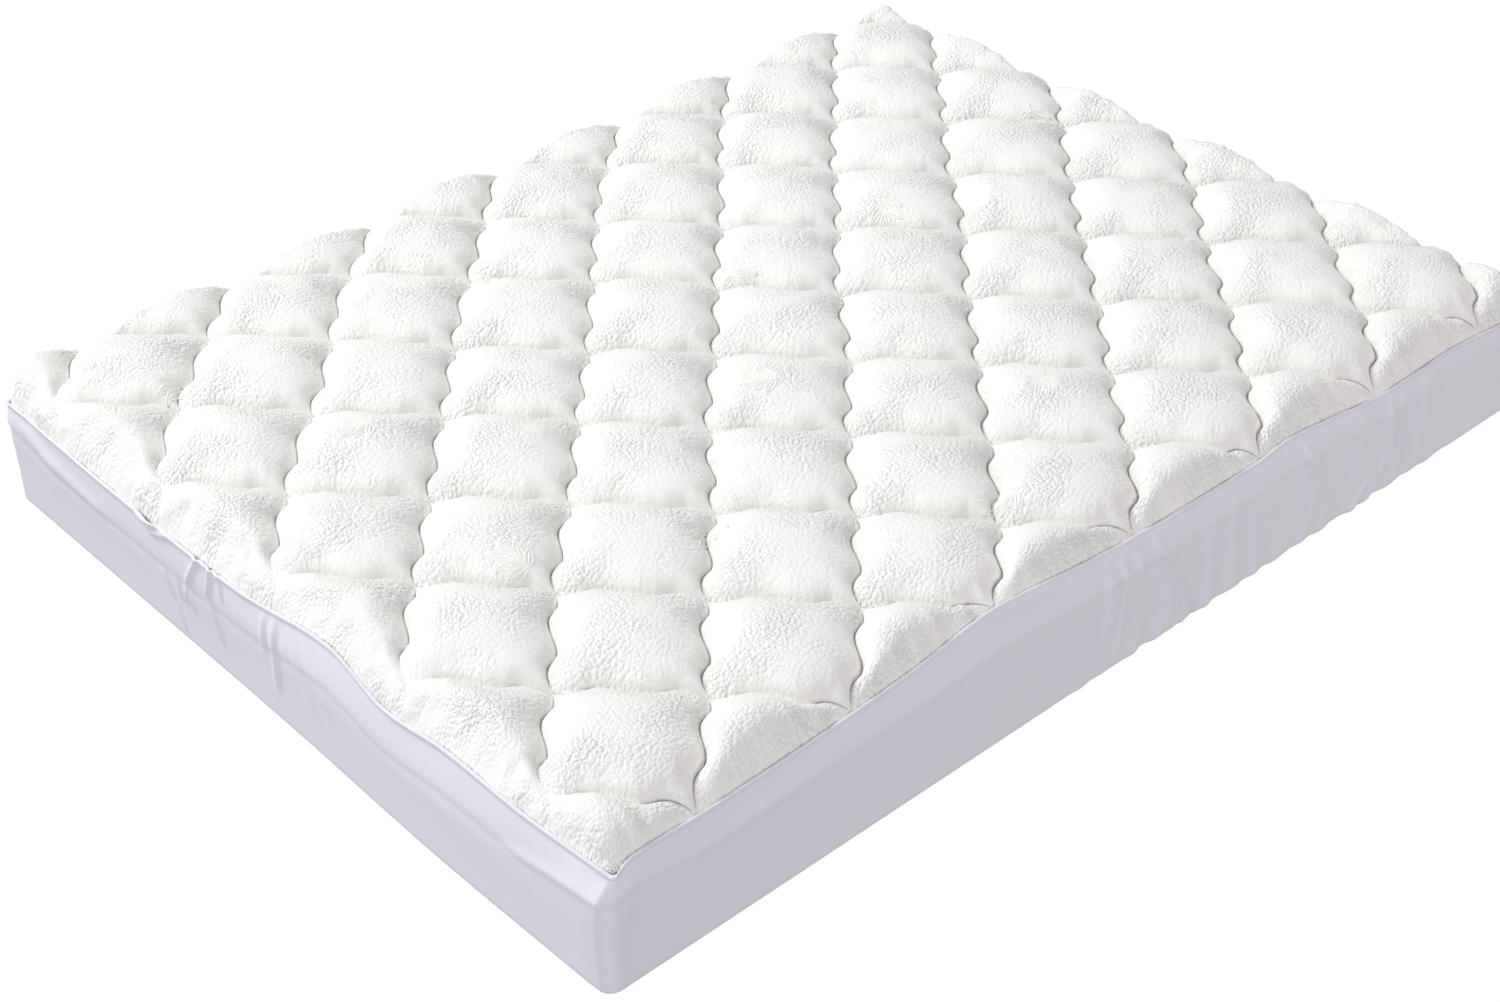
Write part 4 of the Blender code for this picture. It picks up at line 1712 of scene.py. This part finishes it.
@dataclass(frozen=True)
class CrinkledJacquard(Finish):
    """Knitted jacquard with a pebbled, crinkled face: matt, its grain catching light."""

    # The colour and reach of the painted shade in the stitch grooves: the base colour turns this
    # grey within this many millimetres of a stitch line.
    painted_stitch_shade: str = "a8a49c"
    painted_shade_reach: float = 2.0
    pebble: float = 5.6
    pebble_depth: float = 4.0
    pebble_blend: float = 0.7
    bend: float = 2.5
    patches: float = 11.0
    patch_ends: tuple[float, float] = (0.36, 0.60)
    patch_least: float = 0.35
    band_ends: tuple[float, float] = (0.15, 0.75)
    band_least: float = 0.25
    yarn: float = 2.5
    yarn_depth: float = 0.7
    yarn_strength: float = 0.6
    ring: float = 9.0
    ring_depth: float = 0.14
    ring_radius: float = 0.44
    ring_ends: tuple[float, float] = (0.02, 0.11)

    def make(self) -> bpy.types.Material:
        """Builds the finish: pebbles, yarns and faint arcs, with painted shade along the stitch
        lines.

        Returns:
            The material.
        """
        material, tree, shader = self.start()
        flat = add_node(tree, "ShaderNodeUVMap", uv_map="cloth").outputs[0]
        lattice = add_node(tree, "ShaderNodeUVMap", uv_map="diamonds")
        part = add_node(
            tree, "ShaderNodeVectorMath", {0: lattice.outputs[0]}, operation="FRACTION"
        )
        relief = self.pebbles(tree, flat, part.outputs[0])
        relief = self.arcs(tree, part.outputs[0], relief)
        tree.links.new(relief, shader.inputs["Normal"])
        # Painted shade: near the stitch lines the base colour is mixed towards the grey, standing in
        # for the shade that falls in the grooves.
        stitch = add_node(tree, "ShaderNodeAttribute", attribute_name="stitch_shade_room")
        clear_of_shade = add_node(
            tree,
            "ShaderNodeMapRange",
            {"Value": stitch.outputs["Fac"], "From Max": self.painted_shade_reach * MM},
        )
        mixed = add_node(
            tree,
            "ShaderNodeMix",
            {"Factor": clear_of_shade.outputs[0], 6: linear(self.painted_stitch_shade), 7: linear(self.colour)},
            data_type="RGBA",
        )
        tree.links.new(mixed.outputs[2], shader.inputs["Base Color"])
        return material

    def pebbles(
        self,
        tree: bpy.types.NodeTree,
        flat: bpy.types.NodeSocket,
        part: bpy.types.NodeSocket,
    ) -> bpy.types.NodeSocket:
        """Adds the crinkled grain, strongest along each diamond's diagonal, and the yarns.

        Args:
            tree: The material's node tree.
            flat: Places on the flat cloth, in metres.
            part: Places in each diamond, from 0 to 1 both ways.

        Returns:
            The normal with the relief in it.
        """
        bend = add_node(
            tree, "ShaderNodeTexNoise", {"Vector": flat, "Scale": 1 / (self.bend * self.pebble * MM)}
        )
        bent = add_node(
            tree,
            "ShaderNodeVectorMath",
            {0: bend.outputs["Color"], 1: (self.pebble * MM,) * 3, 2: flat},
            operation="MULTIPLY_ADD",
        )
        grain = add_node(
            tree,
            "ShaderNodeTexVoronoi",
            {
                "Vector": bent.outputs[0],
                "Scale": 1 / (self.pebble * MM),
                "Smoothness": self.pebble_blend,
            },
            feature="SMOOTH_F1",
            voronoi_dimensions="2D",
        )
        wide = add_node(
            tree, "ShaderNodeTexNoise", {"Vector": flat, "Scale": self.patches, "Detail": 2.0}
        )
        patch = add_node(
            tree,
            "ShaderNodeMapRange",
            {
                "Value": wide.outputs["Fac"],
                "From Min": self.patch_ends[0],
                "From Max": self.patch_ends[1],
                "To Min": self.patch_least,
            },
        )
        total = add_node(
            tree, "ShaderNodeVectorMath", {0: part, 1: (1.0, 1.0, 0.0)}, operation="DOT_PRODUCT"
        )
        off = add_node(
            tree, "ShaderNodeMath", {0: total.outputs["Value"], 1: 1.0}, operation="SUBTRACT"
        )
        off = add_node(tree, "ShaderNodeMath", {0: off.outputs[0]}, operation="ABSOLUTE")
        band = add_node(
            tree,
            "ShaderNodeMapRange",
            {
                "Value": off.outputs[0],
                "From Min": self.band_ends[0],
                "From Max": self.band_ends[1],
                "To Min": 1.0,
                "To Max": self.band_least,
            },
        )
        strength = add_node(
            tree, "ShaderNodeMath", {0: patch.outputs[0], 1: band.outputs[0]}, operation="MULTIPLY"
        )
        first = add_node(
            tree,
            "ShaderNodeBump",
            {
                "Height": grain.outputs["Distance"],
                "Strength": strength.outputs[0],
                "Distance": self.pebble_depth * MM,
            },
            invert=True,
        )
        yarns = add_node(
            tree,
            "ShaderNodeTexNoise",
            {"Vector": bent.outputs[0], "Scale": 1 / (self.yarn * MM), "Detail": 2.0},
        )
        second = add_node(
            tree,
            "ShaderNodeBump",
            {
                "Height": yarns.outputs["Fac"],
                "Normal": first.outputs[0],
                "Strength": self.yarn_strength,
                "Distance": self.yarn_depth * MM,
            },
        )
        return second.outputs[0]

    def arcs(
        self,
        tree: bpy.types.NodeTree,
        part: bpy.types.NodeSocket,
        normal: bpy.types.NodeSocket,
    ) -> bpy.types.NodeSocket:
        """Adds the faint arcs that each diamond has about one corner.

        Args:
            tree: The material's node tree.
            part: Places in each diamond, from 0 to 1 both ways.
            normal: The normal before.

        Returns:
            The normal with the arcs in it.
        """
        far = add_node(tree, "ShaderNodeVectorMath", {0: part}, operation="LENGTH")
        turn = 2 * math.pi * Quilting().side / (self.ring * MM)
        turned = add_node(
            tree, "ShaderNodeMath", {0: far.outputs["Value"], 1: turn}, operation="MULTIPLY"
        )
        wave = add_node(tree, "ShaderNodeMath", {0: turned.outputs[0]}, operation="SINE")
        off = add_node(
            tree,
            "ShaderNodeMath",
            {0: far.outputs["Value"], 1: self.ring_radius},
            operation="SUBTRACT",
        )
        off = add_node(tree, "ShaderNodeMath", {0: off.outputs[0]}, operation="ABSOLUTE")
        shown = add_node(
            tree,
            "ShaderNodeMapRange",
            {
                "Value": off.outputs[0],
                "From Min": self.ring_ends[0],
                "From Max": self.ring_ends[1],
                "To Min": 1.0,
                "To Max": 0.0,
            },
        )
        arcs = add_node(
            tree,
            "ShaderNodeBump",
            {
                "Height": wave.outputs[0],
                "Normal": normal,
                "Strength": shown.outputs[0],
                "Distance": self.ring_depth * MM,
            },
        )
        return arcs.outputs[0]


@dataclass(frozen=True)
class EmbossedJacquard(Finish):
    """The same jacquard, drawn tight along a raised leaf's outline: too narrow for grain."""


@dataclass(frozen=True)
class StretchKnit(Finish):
    """Fine warp-knitted polyester: smooth and cool white, with a slight sheen."""

    wale: float = 1.8
    wander: float = 0.6
    clouds: float = 60.0
    relief: float = 0.10
    strength: float = 0.35

    def make(self) -> bpy.types.Material:
        """Builds the finish: fine upright wales, drawn coarse enough to show.

        Returns:
            The material.
        """
        material, tree, shader = self.start()
        flat = add_node(tree, "ShaderNodeUVMap", uv_map="cloth")
        wales = add_node(
            tree,
            "ShaderNodeTexWave",
            {
                "Vector": flat.outputs[0],
                "Scale": 1 / (self.wale * MM * BANDS),
                "Distortion": self.wander,
                "Detail": 1.0,
            },
            bands_direction="X",
        )
        cloud = add_node(
            tree,
            "ShaderNodeTexNoise",
            {"Vector": flat.outputs[0], "Scale": self.clouds, "Detail": 3.0},
        )
        height = add_node(
            tree,
            "ShaderNodeMath",
            {0: wales.outputs["Fac"], 1: cloud.outputs["Fac"]},
            operation="ADD",
        )
        bump = add_node(
            tree,
            "ShaderNodeBump",
            {"Height": height.outputs[0], "Strength": self.strength, "Distance": self.relief * MM},
        )
        tree.links.new(bump.outputs[0], shader.inputs["Normal"])
        return material


@dataclass(frozen=True)
class WovenTicking(Finish):
    """Twill-woven cotton ticking: matt, off-white, with fine diagonal ribs."""

    rib: float = 2.4
    wander: float = 0.8
    relief: float = 0.2
    strength: float = 0.5

    def make(self) -> bpy.types.Material:
        """Builds the finish: diagonal ribs, drawn coarse enough to show.

        Returns:
            The material.
        """
        material, tree, shader = self.start()
        places = add_node(tree, "ShaderNodeTexCoord")
        ribs = add_node(
            tree,
            "ShaderNodeTexWave",
            {
                "Vector": places.outputs["Object"],
                "Scale": 1 / (self.rib * MM * BANDS),
                "Distortion": self.wander,
            },
            bands_direction="DIAGONAL",
        )
        bump = add_node(
            tree,
            "ShaderNodeBump",
            {"Height": ribs.outputs["Fac"], "Strength": self.strength, "Distance": self.relief * MM},
        )
        tree.links.new(bump.outputs[0], shader.inputs["Normal"])
        return material


@dataclass(frozen=True)
class SewingThread(Finish):
    """Spun polyester thread: white, a millimetre thick, with a little gloss from its twist."""


@dataclass(frozen=True)
class StudioFloor(Finish):
    """White acrylic lit from behind, so bright that no shadow shows on it."""

    glow: float = 1.05

    def make(self) -> bpy.types.Material:
        """Builds the finish, which gives its own light and takes none.

        Returns:
            The material.
        """
        material, _tree, shader = self.start()
        shader.inputs["Base Color"].default_value = linear("000000")
        shader.inputs["Specular IOR Level"].default_value = 0.0
        shader.inputs["Emission Color"].default_value = linear(self.colour)
        shader.inputs["Emission Strength"].default_value = self.glow
        return material


TOP_KNIT = CrinkledJacquard("crinkled_jacquard_knit", "f6f5f1", 0.85, 0.15)
SKIRT_KNIT = StretchKnit("stretch_knit", "e9e7ef", 0.55, 0.15)
TICKING = WovenTicking("woven_ticking", "dcd8cf", 0.9, 0.05)
THREAD = SewingThread("polyester_thread", "d8d4ca", 0.6, 0.1)
EMBOSSED = EmbossedJacquard("embossed_jacquard_knit", "f6f5f1", 0.8, 0.15)
FLOOR = StudioFloor("lit_white_acrylic", "fffcfb", 0.9, 0.0)


# The studio


@dataclass
class Studio:
    """The floor, the lights and the camera at the photograph's angle."""

    lens: float = 59.045
    sensor: float = 36.0
    place: tuple[float, float, float] = (-2.30048, -2.55085, 2.35818)
    right: tuple[float, float, float] = (0.7427, -0.6693, -0.0208)
    down: tuple[float, float, float] = (-0.4027, -0.4216, -0.8125)
    floor_size: float = 24.0
    world_above: float = 0.47
    world_below: float = 0.42

    def camera(self) -> None:
        """Makes the camera from the directions fitted to the photograph."""
        right = Vector(self.right).normalized()
        down = Vector(self.down)
        down = (down - right * down.dot(right)).normalized()
        back = down.cross(right)
        turn = Matrix((right, -down, back)).transposed()
        data = bpy.data.cameras.new("camera")
        data.lens = self.lens
        data.sensor_width = self.sensor
        camera = bpy.data.objects.new("camera", data)
        camera.matrix_world = Matrix.Translation(self.place) @ turn.to_4x4()
        bpy.context.scene.collection.objects.link(camera)
        bpy.context.scene.camera = camera

    def lamp(
        self, name: str, place: tuple, aim: tuple, size: float, power: float, colour: str
    ) -> None:
        """Adds a square softbox.

        Args:
            name: The lamp's name.
            place: Where it stands.
            aim: What it points at.
            size: Its width in metres.
            power: Its power in watts.
            colour: Its colour as sRGB hex.
        """
        data = bpy.data.lights.new(name, "AREA")
        data.shape = "SQUARE"
        data.size = size
        data.energy = power
        data.color = linear(colour)[:3]
        lamp = bpy.data.objects.new(name, data)
        back = Vector(place) - Vector(aim)
        lamp.matrix_world = (
            Matrix.Translation(place) @ back.to_track_quat("Z", "Y").to_matrix().to_4x4()
        )
        bpy.context.scene.collection.objects.link(lamp)

    def lights(self) -> None:
        """Sets the softboxes, and a white surround that is brighter above than below."""
        self.lamp("key", (-2.7, 6.8, 8.1), (0.0, 0.0, 0.2), 3.0, 800, "fffefc")
        self.lamp("left_fill", (-8.0, -1.2, 2.2), (-1.0, 0.0, 0.1), 3.0, 172, "fafaff")
        self.lamp("front_fill", (2.5, -8.0, 1.8), (0.0, -0.8, 0.1), 3.0, 170, "fff4f2")
        world = bpy.data.worlds.new("studio")
        world.use_nodes = True
        tree = world.node_tree
        sky = tree.nodes["Background"]
        sky.inputs["Color"].default_value = linear("f8f9ff")
        way = add_node(tree, "ShaderNodeTexCoord")
        up = add_node(tree, "ShaderNodeSeparateXYZ", {0: way.outputs["Generated"]})
        bright = add_node(
            tree,
            "ShaderNodeMapRange",
            {
                "Value": up.outputs["Z"],
                "From Min": -0.5,
                "From Max": 0.5,
                "To Min": self.world_below,
                "To Max": self.world_above,
            },
        )
        tree.links.new(bright.outputs[0], sky.inputs["Strength"])
        bpy.context.scene.world = world

    def floor(self) -> None:
        """Lays the white floor, which isn't part of the object and doesn't light it."""
        half = self.floor_size / 2
        corners = np.array([(-half, -half, 0), (half, -half, 0), (half, half, 0), (-half, half, 0)])
        board = new_piece("floor", corners.astype(float), [(0, 1, 2, 3)])
        board.data.materials.append(FLOOR.make())
        board.visible_diffuse = False
        board.visible_glossy = False

    def set_up(self) -> None:
        """Makes the camera, the lights and the floor, and keeps whites as they are."""
        self.camera()
        self.lights()
        self.floor()
        bpy.context.scene.view_settings.view_transform = "Standard"


def dress(piece: bpy.types.Object, finish: bpy.types.Material, slot: str, *nodes: str) -> None:
    """Gives a piece its finish and its place in the frame, and reports it.

    Args:
        piece: The finished piece.
        finish: Its material.
        slot: The record's material slot that it stands for. Not used.
        nodes: The CAD nodes that it replaces.
    """
    piece.data.materials.clear()
    piece.data.materials.append(finish)
    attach(piece, "root")
    if nodes:
        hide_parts(*nodes)
    log.info("%s: %d faces, rides on root", piece.name, len(piece.data.polygons))


def main() -> None:
    """Builds the topper piece by piece, then the studio round it."""
    logging.basicConfig(level=logging.INFO, format="%(name)s: %(message)s")
    outline = Outline()
    Studio().set_up()

    block = Mattress(outline).build()
    dress(block, TICKING.make(), "mattress_ticking", "mattress")

    skirt = Skirt(outline)
    sheet = skirt.build()
    dress(sheet, SKIRT_KNIT.make(), "skirt_knit", "skirt")

    top = QuiltedTop(outline, Quilting())
    face = top.build()
    dress(face, TOP_KNIT.make(), "top_knit", "quilted_top")

    thread = THREAD.make()
    stitches = Stitching(top.stitch_paths()).build(thread)
    dress(stitches, thread, "top_knit")

    embossed = EMBOSSED.make()
    sprigs = LeafSprigs(face).build(embossed)
    dress(sprigs, embossed, "top_knit")


if __name__ == "__main__":
    main()
